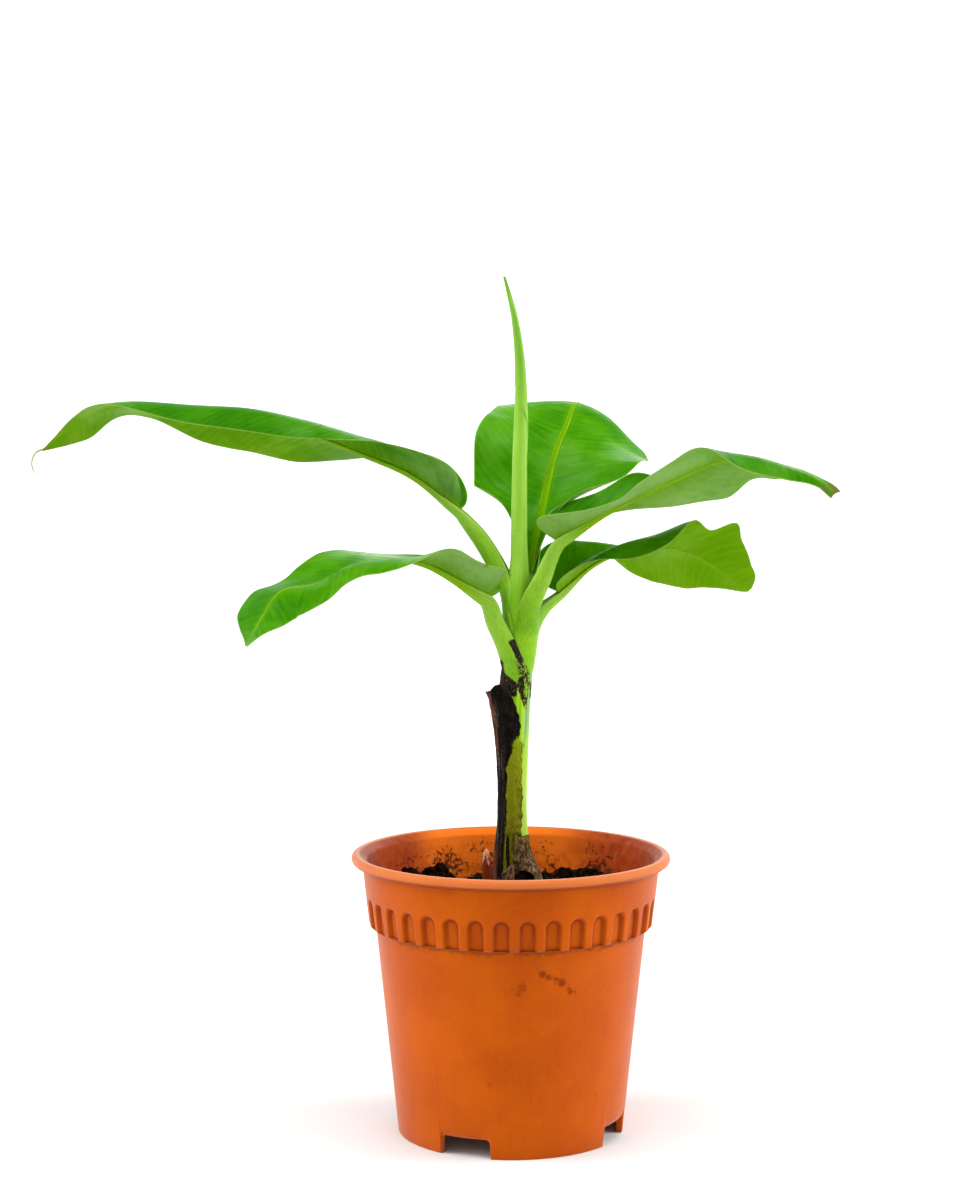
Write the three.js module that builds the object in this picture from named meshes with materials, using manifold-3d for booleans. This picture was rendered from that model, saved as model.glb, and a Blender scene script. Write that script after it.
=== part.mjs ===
// A young banana plant in a round orange nursery pot.
// Millimetres, +Z up. The pot stands on z = 0 with its axis on x = y = 0, and the side of the plant
// that is seen in the photo faces -Y. Six leaves rise from one false stem: five open blades, each on
// its own stalk, and one young leaf that is still rolled up like a spear.
import * as THREE from "three";
import { mergeVertices } from "three/addons/utils/BufferGeometryUtils.js";
import Module from "manifold-3d";

const wasm = await Module();
wasm.setup();

// Pot: driving sizes.
const RIM_RADIUS = 100;
const RIM_TUBE = 3.3;
const RIM_HEIGHT = 173;
const FOOT_RADIUS = 70.8;
const BODY_TAPER = 0.1063;
const WALL = 2.4;
const FLOOR_UNDERSIDE = 12.4;
const FLOOR_TOP = 14.8;
const COLLAR_BOTTOM = 131.4;
const COLLAR_TOP = 168.6;
const COLLAR_LOW_RADIUS = 88.8;
const COLLAR_SLOPE = 0.117;
const COLLAR_INNER_LOW = 85.5;
const POT_SEGMENTS = 72;

// The band of arched flutes round the lower half of the collar.
const FLUTES = 36;
const FLUTE_PHASE = -4.2;
const FLUTE_WIDTH = 9.4;
const FLUTE_HEIGHT = 18.5;
const FLUTE_DEPTH = 1.8;

// The four notches in the foot ring.
const NOTCHES = 4;
const NOTCH_PHASE = -24;
const NOTCH_WIDTH = 33;
const NOTCH_ROUND = 3;

// Soil.
const SOIL_LEVEL = 140;
const SOIL_AT_STEM = 156.7;
const STEM_MOUND = 24;
const FIT_GAP = 0.4;

// Clear space left between neighbours, so that no two solids share room.
const GAP = 0.35;

const radians = THREE.MathUtils.degToRad;
const vec = (x, y, z) => new THREE.Vector3(x, y, z);

// A geometry's triangles as a closed solid; triangles with no area are dropped.
function solid(geometry) {
  const source = geometry.index ? geometry.toNonIndexed() : geometry;
  const bare = new THREE.BufferGeometry();
  bare.setAttribute("position", source.getAttribute("position"));
  const merged = mergeVertices(bare, 1e-4);
  const index = merged.index.array;
  const kept = [];
  for (let i = 0; i < index.length; i += 3) {
    const [a, b, c] = [index[i], index[i + 1], index[i + 2]];
    if (a !== b && b !== c && c !== a) kept.push(a, b, c);
  }
  return new wasm.Manifold(
    new wasm.Mesh({
      numProp: 3,
      vertProperties: merged.attributes.position.array,
      triVerts: new Uint32Array(kept),
    }),
  );
}

// The largest single body of a solid, for what is left of a piece after its neighbours are cut out.
function largest(body) {
  const parts = body.decompose();
  return parts.reduce((a, b) => (b.volume() > a.volume() ? b : a));
}

function geometryOf(body) {
  const made = body.getMesh();
  const n = made.numProp;
  const position = new Float32Array((made.vertProperties.length / n) * 3);
  for (let i = 0; i < position.length / 3; i++) {
    position.set(made.vertProperties.subarray(i * n, i * n + 3), i * 3);
  }
  const geometry = new THREE.BufferGeometry();
  geometry.setAttribute("position", new THREE.BufferAttribute(position, 3));
  geometry.setIndex(new THREE.BufferAttribute(made.triVerts, 1));
  const flat = geometry.toNonIndexed();
  flat.computeVertexNormals();
  return flat;
}

const plant = new THREE.Group();
plant.name = "potted_banana_plant";

function addNode(name, body, colour, roughness) {
  const material = new THREE.MeshStandardMaterial({ color: colour, roughness, metalness: 0 });
  const mesh = new THREE.Mesh(geometryOf(body), material);
  mesh.name = name;
  plant.add(mesh);
}

function box(x0, x1, y0, y1, z0, z1) {
  const geometry = new THREE.BoxGeometry(x1 - x0, y1 - y0, z1 - z0);
  return solid(geometry.translate((x0 + x1) / 2, (y0 + y1) / 2, (z0 + z1) / 2));
}

// Smooth curve through values ys at stations xs; each y is a list of numbers.
function smooth(xs, ys, x) {
  let i = xs.findIndex((value) => value > x) - 1;
  if (i < 0) i = x >= xs[xs.length - 1] ? xs.length - 2 : 0;
  const slope = (k, c) => {
    const before = Math.max(k - 1, 0);
    const after = Math.min(k + 1, xs.length - 1);
    return (ys[after][c] - ys[before][c]) / (xs[after] - xs[before]);
  };
  const span = xs[i + 1] - xs[i];
  const t = (x - xs[i]) / span;
  return ys[i].map((_, c) => {
    const a = (2 * t ** 3 - 3 * t ** 2 + 1) * ys[i][c];
    const b = (t ** 3 - 2 * t ** 2 + t) * span * slope(i, c);
    const d = (3 * t ** 2 - 2 * t ** 3) * ys[i + 1][c];
    return a + b + d + (t ** 3 - t ** 2) * span * slope(i + 1, c);
  });
}

// The way through a few points as a function of the share s of its length, with its direction.
function pathThrough(points) {
  const along = [0];
  for (let i = 1; i < points.length; i++) {
    along.push(along[i - 1] + Math.hypot(...points[i].map((p, c) => p - points[i - 1][c])));
  }
  const fine = [];
  const lengths = [0];
  const steps = 240;
  for (let i = 0; i <= steps; i++) {
    fine.push(vec(...smooth(along, points, (along[along.length - 1] * i) / steps)));
    if (i) lengths.push(lengths[i - 1] + fine[i].distanceTo(fine[i - 1]));
  }
  const length = lengths[steps];
  const at = (s) => {
    const target = Math.min(Math.max(s, 0), 1) * length;
    let i = lengths.findIndex((value) => value > target) - 1;
    if (i < 0) i = steps - 1;
    const t = (target - lengths[i]) / (lengths[i + 1] - lengths[i]);
    return fine[i].clone().lerp(fine[i + 1], t);
  };
  const direction = (s) => at(s + 0.012).sub(at(s - 0.012)).normalize();
  return { at, direction, length };
}

// Axes of a section: T along the way, S level to the left of the heading, U up out of the upper face.
function axes(way, s, heading) {
  const T = way.direction(s);
  const ahead = vec(Math.cos(radians(heading)), Math.sin(radians(heading)), 0);
  const level = vec(0, 0, 1).cross(ahead);
  const S = level.addScaledVector(T, -T.dot(level)).normalize();
  const U = T.clone().cross(S);
  return { T, S, U };
}

// A closed skin over rings of points; every ring has the same number of points.
function skin(rings) {
  const corners = [];
  const triangle = (a, b, c) => corners.push(...a.toArray(), ...b.toArray(), ...c.toArray());
  const sides = rings[0].length;
  const middle = (ring) =>
    ring.reduce((sum, p) => sum.add(p), vec(0, 0, 0)).multiplyScalar(1 / ring.length);
  for (let i = 0; i + 1 < rings.length; i++) {
    for (let k = 0; k < sides; k++) {
      const l = (k + 1) % sides;
      triangle(rings[i][k], rings[i][l], rings[i + 1][l]);
      triangle(rings[i][k], rings[i + 1][l], rings[i + 1][k]);
    }
  }
  const first = middle(rings[0]);
  const last = middle(rings[rings.length - 1]);
  for (let k = 0; k < sides; k++) {
    const l = (k + 1) % sides;
    triangle(first, rings[0][l], rings[0][k]);
    triangle(last, rings[rings.length - 1][k], rings[rings.length - 1][l]);
  }
  const geometry = new THREE.BufferGeometry();
  geometry.setAttribute("position", new THREE.Float32BufferAttribute(corners, 3));
  const body = solid(geometry);
  if (body.volume() > 0) return body;
  const turned = [];
  for (let i = 0; i < corners.length; i += 9) {
    turned.push(...corners.slice(i, i + 3), ...corners.slice(i + 6, i + 9), ...corners.slice(i + 3, i + 6));
  }
  geometry.setAttribute("position", new THREE.Float32BufferAttribute(turned, 3));
  return solid(geometry);
}

// A round or oval limb: sections [x, y, z, half width, half depth] along its way. A stalk has a
// groove down its upper face, as deep as the share `groove` of its half depth.
function limb({ sections, heading = 90, sides = 16, rings = 10, groove = 0 }, grow = 0) {
  const way = pathThrough(sections.map((p) => p.slice(0, 3)));
  const stations = sections.map((_, i) => i / (sections.length - 1));
  const widths = sections.map((p) => p.slice(3, 5));
  const made = [];
  for (let i = 0; i <= rings; i++) {
    const s = i / rings;
    const { S, U, T } = axes(way, s, heading);
    const [wide, deep] = smooth(stations, widths, s);
    const ring = [];
    for (let k = 0; k < sides; k++) {
      const turn = (2 * Math.PI * k) / sides;
      const dip = 1 - groove * Math.exp(-(((turn - Math.PI / 2) / 0.5) ** 2));
      const point = way.at(s);
      if (i === 0) point.addScaledVector(T, -grow);
      if (i === rings) point.addScaledVector(T, grow);
      point.addScaledVector(S, (wide + grow) * Math.cos(turn));
      ring.push(point.addScaledVector(U, (deep * dip + grow) * Math.sin(turn)));
    }
    made.push(ring);
  }
  return skin(made);
}

// Leaf blades. Each leaf grows along `way`; at a few stations the half widths of its left and right
// halves are given, and the angles, above level, at which each half leaves the midrib and ends at the
// margin. Between those two angles a half bends evenly, so each section is two arcs that meet at the
// midrib. At the stalk the outline is rounded, and each half ends in a lobe that runs back past it.
const STATION = ["at", "leftWidth", "rightWidth", "leftFrom", "leftTo", "rightFrom", "rightTo"];
const LEAVES = {
  upper_left: {
    heading: 172,
    thickness: 3.0,
    bend: 0.8,
    lobes: [-10, 9],
    lean: 0.2,
    way: [
      [-32.5, 4.5, 390.5], [-60.5, 8.5, 412], [-93, 13.5, 425.5], [-126, 18, 438], [-164, 23.5, 449],
      [-205.5, 29, 453.5], [-246.5, 35, 454.5], [-274.5, 39, 446], [-298.5, 42, 427.5],
    ],
    stations: [
      [0.0, 26, 25, 56, 143, 0, 92],
      [0.08, 33, 30, 34, 42, 8, 65],
      [0.2, 38, 37, 56, -19, -1, 4],
      [0.33, 44, 43, 56, -62, -17, -36],
      [0.46, 44, 43, 44, -70, -12, -59],
      [0.6, 40, 40, 27, -50, -4, -63],
      [0.74, 32, 35, 24, -25, 0, -24],
      [0.82, 21, 26, 16, 2, -9, -14],
      [0.9, 8, 18, 10, 19, -30, -44],
      [1.0, 0, 1, 8, 14, -43, -51],
    ],
  },
  lower_left: {
    heading: 205,
    thickness: 2.0,
    bend: 0.36,
    lobes: [1.5, 18],
    curl: [21, 18],
    lean: 0.2,
    way: [
      [-14.5, -8, 336], [-35, -17, 349.5], [-54, -26, 359], [-74, -35.5, 362.5], [-96, -46, 359.5],
      [-116.5, -55.5, 349], [-138.5, -65.5, 344.5], [-149, -71, 329.5], [-158, -75.5, 313],
    ],
    stations: [
      [0.0, 21, 30, 37, 108, 57, 139],
      [0.1, 24, 29, 20, 40, 36, 48],
      [0.2, 29, 32, 54, 2, 7, 16],
      [0.33, 35, 35, 17, -16, 4, 0],
      [0.46, 34, 37, 10, -26, 7, 12],
      [0.6, 29, 35, 26, -34, 11, 14],
      [0.74, 29, 32, -11, -47, 0, -3],
      [0.86, 21, 28, -14, -37, 14, 9],
      [0.94, 13, 14, 2, -8, 21, 19],
      [1.0, 3, 2, 3, 3, 0, 0],
    ],
  },
  upper_right: {
    heading: -22,
    thickness: 2.0,
    bend: 0.6,
    lobes: [14, 16.5],
    lean: 0.2,
    way: [
      [29.5, -13, 372], [55, -22, 389], [79.5, -31, 401.5], [103, -40.5, 413], [124, -49, 422],
      [146, -59, 423.5], [169, -68, 417.5], [183.5, -74, 410], [190.5, -77.5, 403.5],
    ],
    stations: [
      [0.0, 29, 27, 55, 112, 47, 110],
      [0.12, 36, 33, 11, 53, 7, 19],
      [0.24, 47, 35, -34, 86, -2, 2],
      [0.36, 45, 37, -58, 35, 3, 8],
      [0.48, 42, 41, -41, -16, 14, 3],
      [0.6, 39, 44, -14, -26, 24, -6],
      [0.72, 32, 30, -8, -36, 24, -53],
      [0.84, 21, 19, 5, -22, 12, -51],
      [0.93, 9, 8, 13, -8, 1, -50],
      [1.0, 4, 5, 26, 32, -32, -54],
    ],
  },
  lower_right: {
    heading: 18,
    thickness: 1.7,
    bend: 0.5,
    lobes: [12.5, 8],
    lean: 0.1,
    way: [
      [31, 10, 338.5], [49.5, 15.5, 354.5], [69, 22, 363], [89, 28.5, 365.5], [108, 35, 364],
      [128, 41.5, 354.5], [142.5, 45.5, 343.5], [153.5, 48.5, 337],
    ],
    stations: [
      [0.0, 26, 21, 43, 79, 47, 41],
      [0.12, 35, 28, 43, 34, 46, 2],
      [0.27, 40, 34, 42, -26, 53, -57],
      [0.42, 43, 41, 11, -54, 47, -34],
      [0.55, 42, 37, -12, -54, 56, 7],
      [0.66, 38, 23, -22, -49, 63, 36],
      [0.73, 33, 34, -28, -47, 53, 61],
      [0.79, 27, 27, -32, -46, 48, 54],
      [0.85, 19, 22, -30, -42, 48, 53],
      [0.91, 11, 17, -27, -37, 51, 58],
      [0.95, 7, 14, -28, -35, 53, 62],
      [0.98, 4, 10, -30, -33, 54, 63],
      [1.0, 1, 3, -31, -31, 49, 56],
    ],
  },
  back: {
    heading: 75,
    thickness: 2.4,
    bend: 0.52,
    lobes: [0, 0],
    lean: 0.2,
    way: [
      [12.5, 10, 351], [17.5, 26, 375.5], [23.5, 46, 404.5], [29.5, 60, 426], [37.5, 80, 444.5],
      [44, 108, 458], [49, 138, 452], [55, 160, 433.5], [58, 172, 413.5],
    ],
    stations: [
      [0.0, 12, 12, 52, 94, 48, 82],
      [0.12, 31, 31, 43, 66, 46, 61],
      [0.25, 50, 46, -6, 0, 6, 4],
      [0.38, 56, 55, 6, 1, -10, -20],
      [0.5, 55, 60, 4, -3, -26, -46],
      [0.62, 51, 54, 6, -12, -16, -68],
      [0.75, 43, 46, 7, -19, -9, -57],
      [0.88, 30, 31, 3, -17, -8, -37],
      [0.96, 17, 18, 1, -15, -5, -26],
      [1.0, 3, 3, 0, -15, 0, -18],
    ],
  },
};
const ROUNDED_BASE = 0.14;
const RIB_HEIGHT = 2.6;
const BLADE_ROWS = 21;
const ACROSS = [0.08, 0.3, 0.55, 0.8, 1];

// One point row of the blade's middle surface at s: left margin, midrib, right margin.
function bladeRow(leaf, way, s) {
  const stations = leaf.stations.map((row) => row[0]);
  const values = smooth(stations, leaf.stations.map((row) => row.slice(1)), s);
  const size = Object.fromEntries(STATION.slice(1).map((name, i) => [name, values[i]]));
  const { T, S, U } = axes(way, s, leaf.heading);
  const rounding = Math.sqrt(1 - (1 - Math.min(s / ROUNDED_BASE, 1)) ** 2);
  const near = Math.exp(-((s / (0.8 * ROUNDED_BASE)) ** 2));
  // A lobe may also curl: its tip is carried back and lifted, most at the margin.
  const [curlBack, curlUp] = leaf.curl || [0, 0];
  const curled = Math.exp(-((s / 0.085) ** 2)) * rounding ** 3;
  const halves = [
    [1, size.leftWidth, size.leftFrom, size.leftTo, leaf.lobes[0]],
    [-1, size.rightWidth, size.rightFrom, size.rightTo, leaf.lobes[1]],
  ].map(([side, wide, from, to, lobe]) => {
    const width = Math.max(wide, 0.8) * rounding;
    const start = radians(from);
    const bend = radians(to - from) || 1e-4;
    return ACROSS.map((v) => {
      const out = (width * (Math.sin(start + bend * v) - Math.sin(start))) / bend;
      const up = (-width * (Math.cos(start + bend * v) - Math.cos(start))) / bend;
      const back = -lobe * near * rounding * v ** 1.3 + leaf.lean * width * (1 - near) * v ** 2;
      const tip = side > 0 ? curled * v ** 4 : 0;
      const point = way.at(s).addScaledVector(S, side * out);
      return point.addScaledVector(U, up + curlUp * tip).addScaledVector(T, back - curlBack * tip);
    });
  });
  return [...halves[0].reverse(), way.at(s), ...halves[1]];
}

// The solid blade: the middle surface is given its thickness along its own normals, and a rib runs
// under the middle. The rows lie closer together in the rounded base.
function blade(leaf, rows, grow = 0) {
  const way = pathThrough(leaf.way);
  const shares = [];
  for (let i = 0; i <= rows; i++) shares.push(0.004 + 0.996 * (i / rows) ** 1.2);
  const grid = shares.map((s) => bladeRow(leaf, way, s));
  const columns = grid[0].length;
  const centre = (columns - 1) / 2;
  if (grow > 0) {
    const outward = (point, inner) => {
      point.addScaledVector(point.clone().sub(inner).normalize(), grow);
    };
    for (const row of grid) {
      outward(row[0], row[1]);
      outward(row[columns - 1], row[columns - 2]);
    }
    for (let j = 0; j < columns; j++) {
      outward(grid[0][j], grid[1][j]);
      outward(grid[rows][j], grid[rows - 1][j]);
    }
  }
  const normal = (i, j) => {
    const ahead = grid[Math.min(i + 1, rows)][j].clone().sub(grid[Math.max(i - 1, 0)][j]);
    const across = grid[i][Math.max(j - 1, 0)].clone().sub(grid[i][Math.min(j + 1, columns - 1)]);
    return ahead.cross(across).normalize();
  };
  const rings = grid.map((row, i) => {
    const upper = [];
    const lower = [];
    row.forEach((point, j) => {
      const margin = Math.abs(j - centre) / centre;
      const half = (leaf.thickness / 2) * (1 - 0.3 * margin ** 3) + grow;
      const rib = j === centre ? RIB_HEIGHT * (1 - shares[i]) : 0;
      const n = normal(i, j);
      upper.push(point.clone().addScaledVector(n, half));
      lower.push(point.clone().addScaledVector(n, -half - rib));
    });
    return [...upper, ...lower.reverse()];
  });
  return skin(rings);
}

// All the room on one side of the section through a leaf's bend, short of the gap between its pieces.
function halfSpace(leaf, side) {
  const way = pathThrough(leaf.way);
  const size = 500;
  const T = way.direction(leaf.bend);
  const centre = way.at(leaf.bend).addScaledVector(T, (side * (size + GAP)) / 2);
  const turn = new THREE.Quaternion().setFromUnitVectors(vec(0, 0, 1), T);
  const place = new THREE.Matrix4().compose(centre, turn, vec(1, 1, 1));
  return solid(new THREE.BoxGeometry(size, size, size).applyMatrix4(place));
}

// Pot: one turned profile, then the flutes and the notches are cut out of it.
const bodyRadius = (z) => FOOT_RADIUS + BODY_TAPER * z;
const collarInner = (z) => COLLAR_INNER_LOW + 0.12 * (z - COLLAR_BOTTOM - 2.6);
function pot() {
  const bead = RIM_RADIUS - RIM_TUBE;
  const profile = [
    [0, FLOOR_UNDERSIDE], [67.4, FLOOR_UNDERSIDE], [67.4, 0], [FOOT_RADIUS - 0.6, 0],
    [FOOT_RADIUS, 0.8], [bodyRadius(COLLAR_BOTTOM - 1.4), COLLAR_BOTTOM - 1.4],
    [bodyRadius(COLLAR_BOTTOM) + 0.6, COLLAR_BOTTOM - 0.2], [COLLAR_LOW_RADIUS - 0.5, COLLAR_BOTTOM],
    [COLLAR_LOW_RADIUS, COLLAR_BOTTOM + 0.7],
    [COLLAR_LOW_RADIUS + COLLAR_SLOPE * (COLLAR_TOP - COLLAR_BOTTOM), COLLAR_TOP],
  ];
  for (const turn of [-150, -105, -60, -15, 30, 75, 120]) {
    const a = radians(turn);
    profile.push([bead + RIM_TUBE * Math.cos(a), RIM_HEIGHT + RIM_TUBE * Math.sin(a)]);
  }
  profile.push(
    [collarInner(RIM_HEIGHT) + 0.4, RIM_HEIGHT + 0.4], [collarInner(COLLAR_TOP - 3), COLLAR_TOP - 3],
    [COLLAR_INNER_LOW, COLLAR_BOTTOM + 2.6],
    [bodyRadius(COLLAR_BOTTOM - 2) - WALL, COLLAR_BOTTOM - 2],
    [bodyRadius(FLOOR_TOP + 1.5) - WALL, FLOOR_TOP + 1.5], [68, FLOOR_TOP], [0, FLOOR_TOP],
  );
  const points = profile.map(([r, z]) => new THREE.Vector2(r, z));
  let body = solid(new THREE.LatheGeometry(points, POT_SEGMENTS).rotateX(Math.PI / 2));

  const arch = new THREE.Shape();
  const half = FLUTE_WIDTH / 2;
  arch.moveTo(-half, -4);
  arch.lineTo(half, -4);
  arch.lineTo(half, FLUTE_HEIGHT - half);
  arch.absarc(0, FLUTE_HEIGHT - half, half, 0, Math.PI, false);
  const flute = new THREE.ExtrudeGeometry(arch, { depth: 8, bevelEnabled: false, curveSegments: 4 });
  flute.rotateX(Math.PI / 2 + Math.atan(COLLAR_SLOPE));
  flute.translate(0, FLUTE_DEPTH - COLLAR_LOW_RADIUS, COLLAR_BOTTOM);
  const cutter = solid(flute);
  for (let i = 0; i < FLUTES; i++) {
    body = body.subtract(cutter.rotate([0, 0, FLUTE_PHASE + (360 / FLUTES) * i]));
  }

  const slot = new THREE.Shape();
  const wide = NOTCH_WIDTH / 2;
  const top = FLOOR_UNDERSIDE - 0.4;
  slot.moveTo(-wide, -2);
  slot.lineTo(wide, -2);
  slot.lineTo(wide, top - NOTCH_ROUND);
  slot.absarc(wide - NOTCH_ROUND, top - NOTCH_ROUND, NOTCH_ROUND, 0, Math.PI / 2, false);
  slot.absarc(NOTCH_ROUND - wide, top - NOTCH_ROUND, NOTCH_ROUND, Math.PI / 2, Math.PI, false);
  const notch = new THREE.ExtrudeGeometry(slot, { depth: 20, bevelEnabled: false, curveSegments: 3 });
  notch.rotateX(Math.PI / 2).translate(0, 10 - FOOT_RADIUS, 0);
  const gap = solid(notch);
  for (let i = 0; i < NOTCHES; i++) {
    body = body.subtract(gap.rotate([0, 0, NOTCH_PHASE + (360 / NOTCHES) * i]));
  }
  return body;
}

// Soil: fills the pot to a little under the collar, with a mound round the stem and some at the wall.
const MOUNDS = [
  [-66, 46, 15, 13],
  [-48, 64, 14, 13],
  [30, 70, 13, 9],
  [52, 58, 17, 14],
  [-30, -52, 26, 5],
  [48, -40, 24, 4],
];
function soilHeight(x, y) {
  const r = Math.hypot(x, y);
  const t = Math.min(Math.max((r - STEM_MOUND) / 30, 0), 1);
  const middle = (SOIL_AT_STEM - SOIL_LEVEL) * (1 - t * t * (3 - 2 * t));
  const lumps = MOUNDS.map(([mx, my, size, high]) => {
    return high * Math.exp(-((x - mx) ** 2 + (y - my) ** 2) / (size * size)) * t;
  });
  return SOIL_LEVEL + middle + lumps.reduce((a, b) => a + b, 0);
}
function soil() {
  const sectors = 36;
  const ring = (radius, height) => {
    const points = [];
    for (let k = 0; k < sectors; k++) {
      const a = (2 * Math.PI * k) / sectors;
      const [x, y] = [Math.cos(a), Math.sin(a)];
      const z = height === null ? soilHeight(radius * x, radius * y) : height;
      const r = height === null && radius > 85 ? collarInner(z) - FIT_GAP : radius;
      points.push(vec(r * x, r * y, z));
    }
    return points;
  };
  const low = FLOOR_TOP + 0.3;
  const step = COLLAR_BOTTOM - 2.2;
  const rings = [
    ring(67.4, low), ring(bodyRadius(FLOOR_TOP + 2) - WALL - FIT_GAP, FLOOR_TOP + 2.2),
    ring(bodyRadius(step) - WALL - FIT_GAP, step), ring(COLLAR_INNER_LOW - FIT_GAP, COLLAR_BOTTOM + 2.9),
    ring(86, null),
  ];
  for (const radius of [76, 66, 56, 47, 39, 31, STEM_MOUND, 12]) rings.push(ring(radius, null));
  return skin(rings);
}

// Stem, spear, sheaths and stalks: sections [x, y, z, half width, half depth].
const STEM = {
  sections: [
    [0.5, 0, SOIL_AT_STEM + 0.3, 11.6, 11.2], [0.8, 0, 178, 10, 9.8], [1.2, 0, 208, 8.4, 8.6],
    [1.4, 0, 240, 9, 9], [2.4, 0, 271, 9.4, 9.2], [4.4, 0, 297, 9.4, 9.2], [6.4, 0, 322, 9.6, 9.2],
  ],
  sides: 16,
  rings: 11,
};
const SPEAR = {
  sections: [
    [6.2, 0, 322.5, 5, 5], [5.2, 0, 368, 4.8, 4.8], [5.5, 0, 419, 4.4, 4.4], [6, 0, 457, 3.7, 3.7],
    [5.6, 0, 482, 2.8, 2.8], [2.6, 0, 508, 1.9, 1.9], [-1.5, 0, 524, 0.9, 0.9], [-4.5, 0, 535, 0.5, 0.5],
  ],
  sides: 10,
  rings: 15,
};
const OLD_SHEATH = {
  sections: [
    [-1, -1.5, SOIL_AT_STEM + 0.3, 12, 12], [-0.8, -1.5, 177, 10.6, 10.8], [0, -1.5, 195, 9.4, 10.2],
    [-0.2, -1.5, 222, 9.4, 10.2], [-1, -2, 248, 9.8, 10.6], [-3.4, -3, 266, 10.2, 10.8],
    [-6.5, -4, 281, 10.4, 10],
  ],
  sides: 16,
  rings: 8,
};
const BASE_HUSK = {
  sections: [
    [7, -2, SOIL_AT_STEM + 0.3, 12.8, 12.6], [6.2, -2.4, 167, 12, 11.8], [3.2, -2, 179, 10.6, 11],
    [2.4, -1.8, 189, 10, 10.4],
  ],
  sides: 18,
  rings: 6,
};
const SPROUT = {
  sections: [
    [-15, -13, SOIL_AT_STEM + 0.3, 3.4, 3], [-15.2, -13, 170, 3.2, 2.8], [-14.4, -12.6, 180, 0.9, 0.9],
  ],
  sides: 10,
  rings: 5,
};
const STALKS = {
  lower_left: [[3, -7, 286, 6, 5], [-0.5, -8.5, 300, 7, 5.5], [-7, -8.5, 318, 6, 5.4]],
  lower_right: [[11, 3, 300, 6, 5], [14.5, 4, 312, 6, 5.4], [20.5, 6, 325, 5.4, 5]],
  upper_right: [[10, -4, 322.6, 6, 5], [13.5, -6.5, 336, 5.6, 5], [20, -9.5, 349, 5.4, 4.8]],
  upper_left: [[1, 0, 322.6, 6.4, 6], [-3, 1, 344, 6.4, 6], [-16, 2.5, 370, 5.6, 5]],
  back: [[7.5, 5, 322.6, 6, 5], [9.4, 7.5, 337, 5, 4.6]],
};
const STALK_END = [4, 3.8];

function stalk(name) {
  const leaf = LEAVES[name];
  const way = pathThrough(leaf.way);
  const end = way.at(0).addScaledVector(way.direction(0.01), -GAP);
  return {
    sections: [...STALKS[name], [...end.toArray(), ...STALK_END]],
    heading: leaf.heading,
    sides: 12,
    rings: 7,
    groove: 0.45,
  };
}

// Build: each piece gives way to the ones before it.
const GREEN = { stem: 0x8aa83c, spear: 0x9ecb5a, stalk: 0x86b52a, leaf: 0x4f9a1e, dry: 0x8f7a4a };
const placed = [];
function place(name, body, grown, colour, roughness) {
  let left = body;
  for (const other of placed) {
    if (!left.intersect(other.grown).isEmpty()) left = left.subtract(other.grown);
  }
  left = largest(left);
  placed.push({ name, grown });
  addNode(name, left, colour, roughness);
}

const potBody = pot();
addNode("pot", potBody, 0xd9661c, 0.45);
addNode("soil", soil(), 0x3b2a1d, 0.95);

place("false_stem", limb(STEM), limb(STEM, GAP), GREEN.stem, 0.55);
place("spear_leaf", limb(SPEAR), limb(SPEAR, GAP), GREEN.spear, 0.5);
const sheathSide = box(6, 40, -40, 40, 100, 300).add(box(-40, 40, 6, 40, 100, 300));
place("old_sheath", limb(OLD_SHEATH).subtract(sheathSide), limb(OLD_SHEATH, GAP), 0x3a2c22, 0.8);
const mouth = new THREE.CylinderGeometry(8.2, 8.2, 30, 16).translate(8.6, -18, 156);
const huskSide = box(-40, 5, -40, 40, 100, 300).add(solid(mouth));
place("base_husk", limb(BASE_HUSK).subtract(huskSide), limb(BASE_HUSK, GAP), GREEN.dry, 0.85);
place("side_shoot", limb(SPROUT), limb(SPROUT, GAP), 0xd9b9a0, 0.6);

for (const name of Object.keys(STALKS)) {
  const shape = stalk(name);
  place(`stalk_${name}`, limb(shape), limb(shape, GAP), GREEN.stalk, 0.5);
}
for (const [name, leaf] of Object.entries(LEAVES)) {
  const whole = blade(leaf, BLADE_ROWS);
  const grown = blade(leaf, BLADE_ROWS, GAP);
  const [inner, outer] = [-1, 1].map((side) => halfSpace(leaf, side));
  place(`blade_${name}_inner`, whole.intersect(inner), grown.intersect(inner), GREEN.leaf, 0.5);
  place(`blade_${name}_outer`, whole.intersect(outer), grown.intersect(outer), GREEN.leaf, 0.5);
}

// The origin of the part is the middle of the foot of its own bounding box.
const bounds = new THREE.Box3().setFromObject(plant, true);
const middle = bounds.getCenter(vec(0, 0, 0));
for (const mesh of plant.children) mesh.geometry.translate(-middle.x, -middle.y, -bounds.min.z);

export default plant;
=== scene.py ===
# %% [markdown]
# A young banana plant in a nursery pot.
# The real object is a 200 mm orange plastic pot of potting soil. A false stem, which is really a roll
# of leaf sheaths, stands in it and carries five open leaves and one leaf that is still rolled up.
# The CAD model already has every part at its real size, so this script never moves it. It makes finer
# pieces over the CAD nodes, each from the same few sizes, and gives each one its finish.

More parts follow.
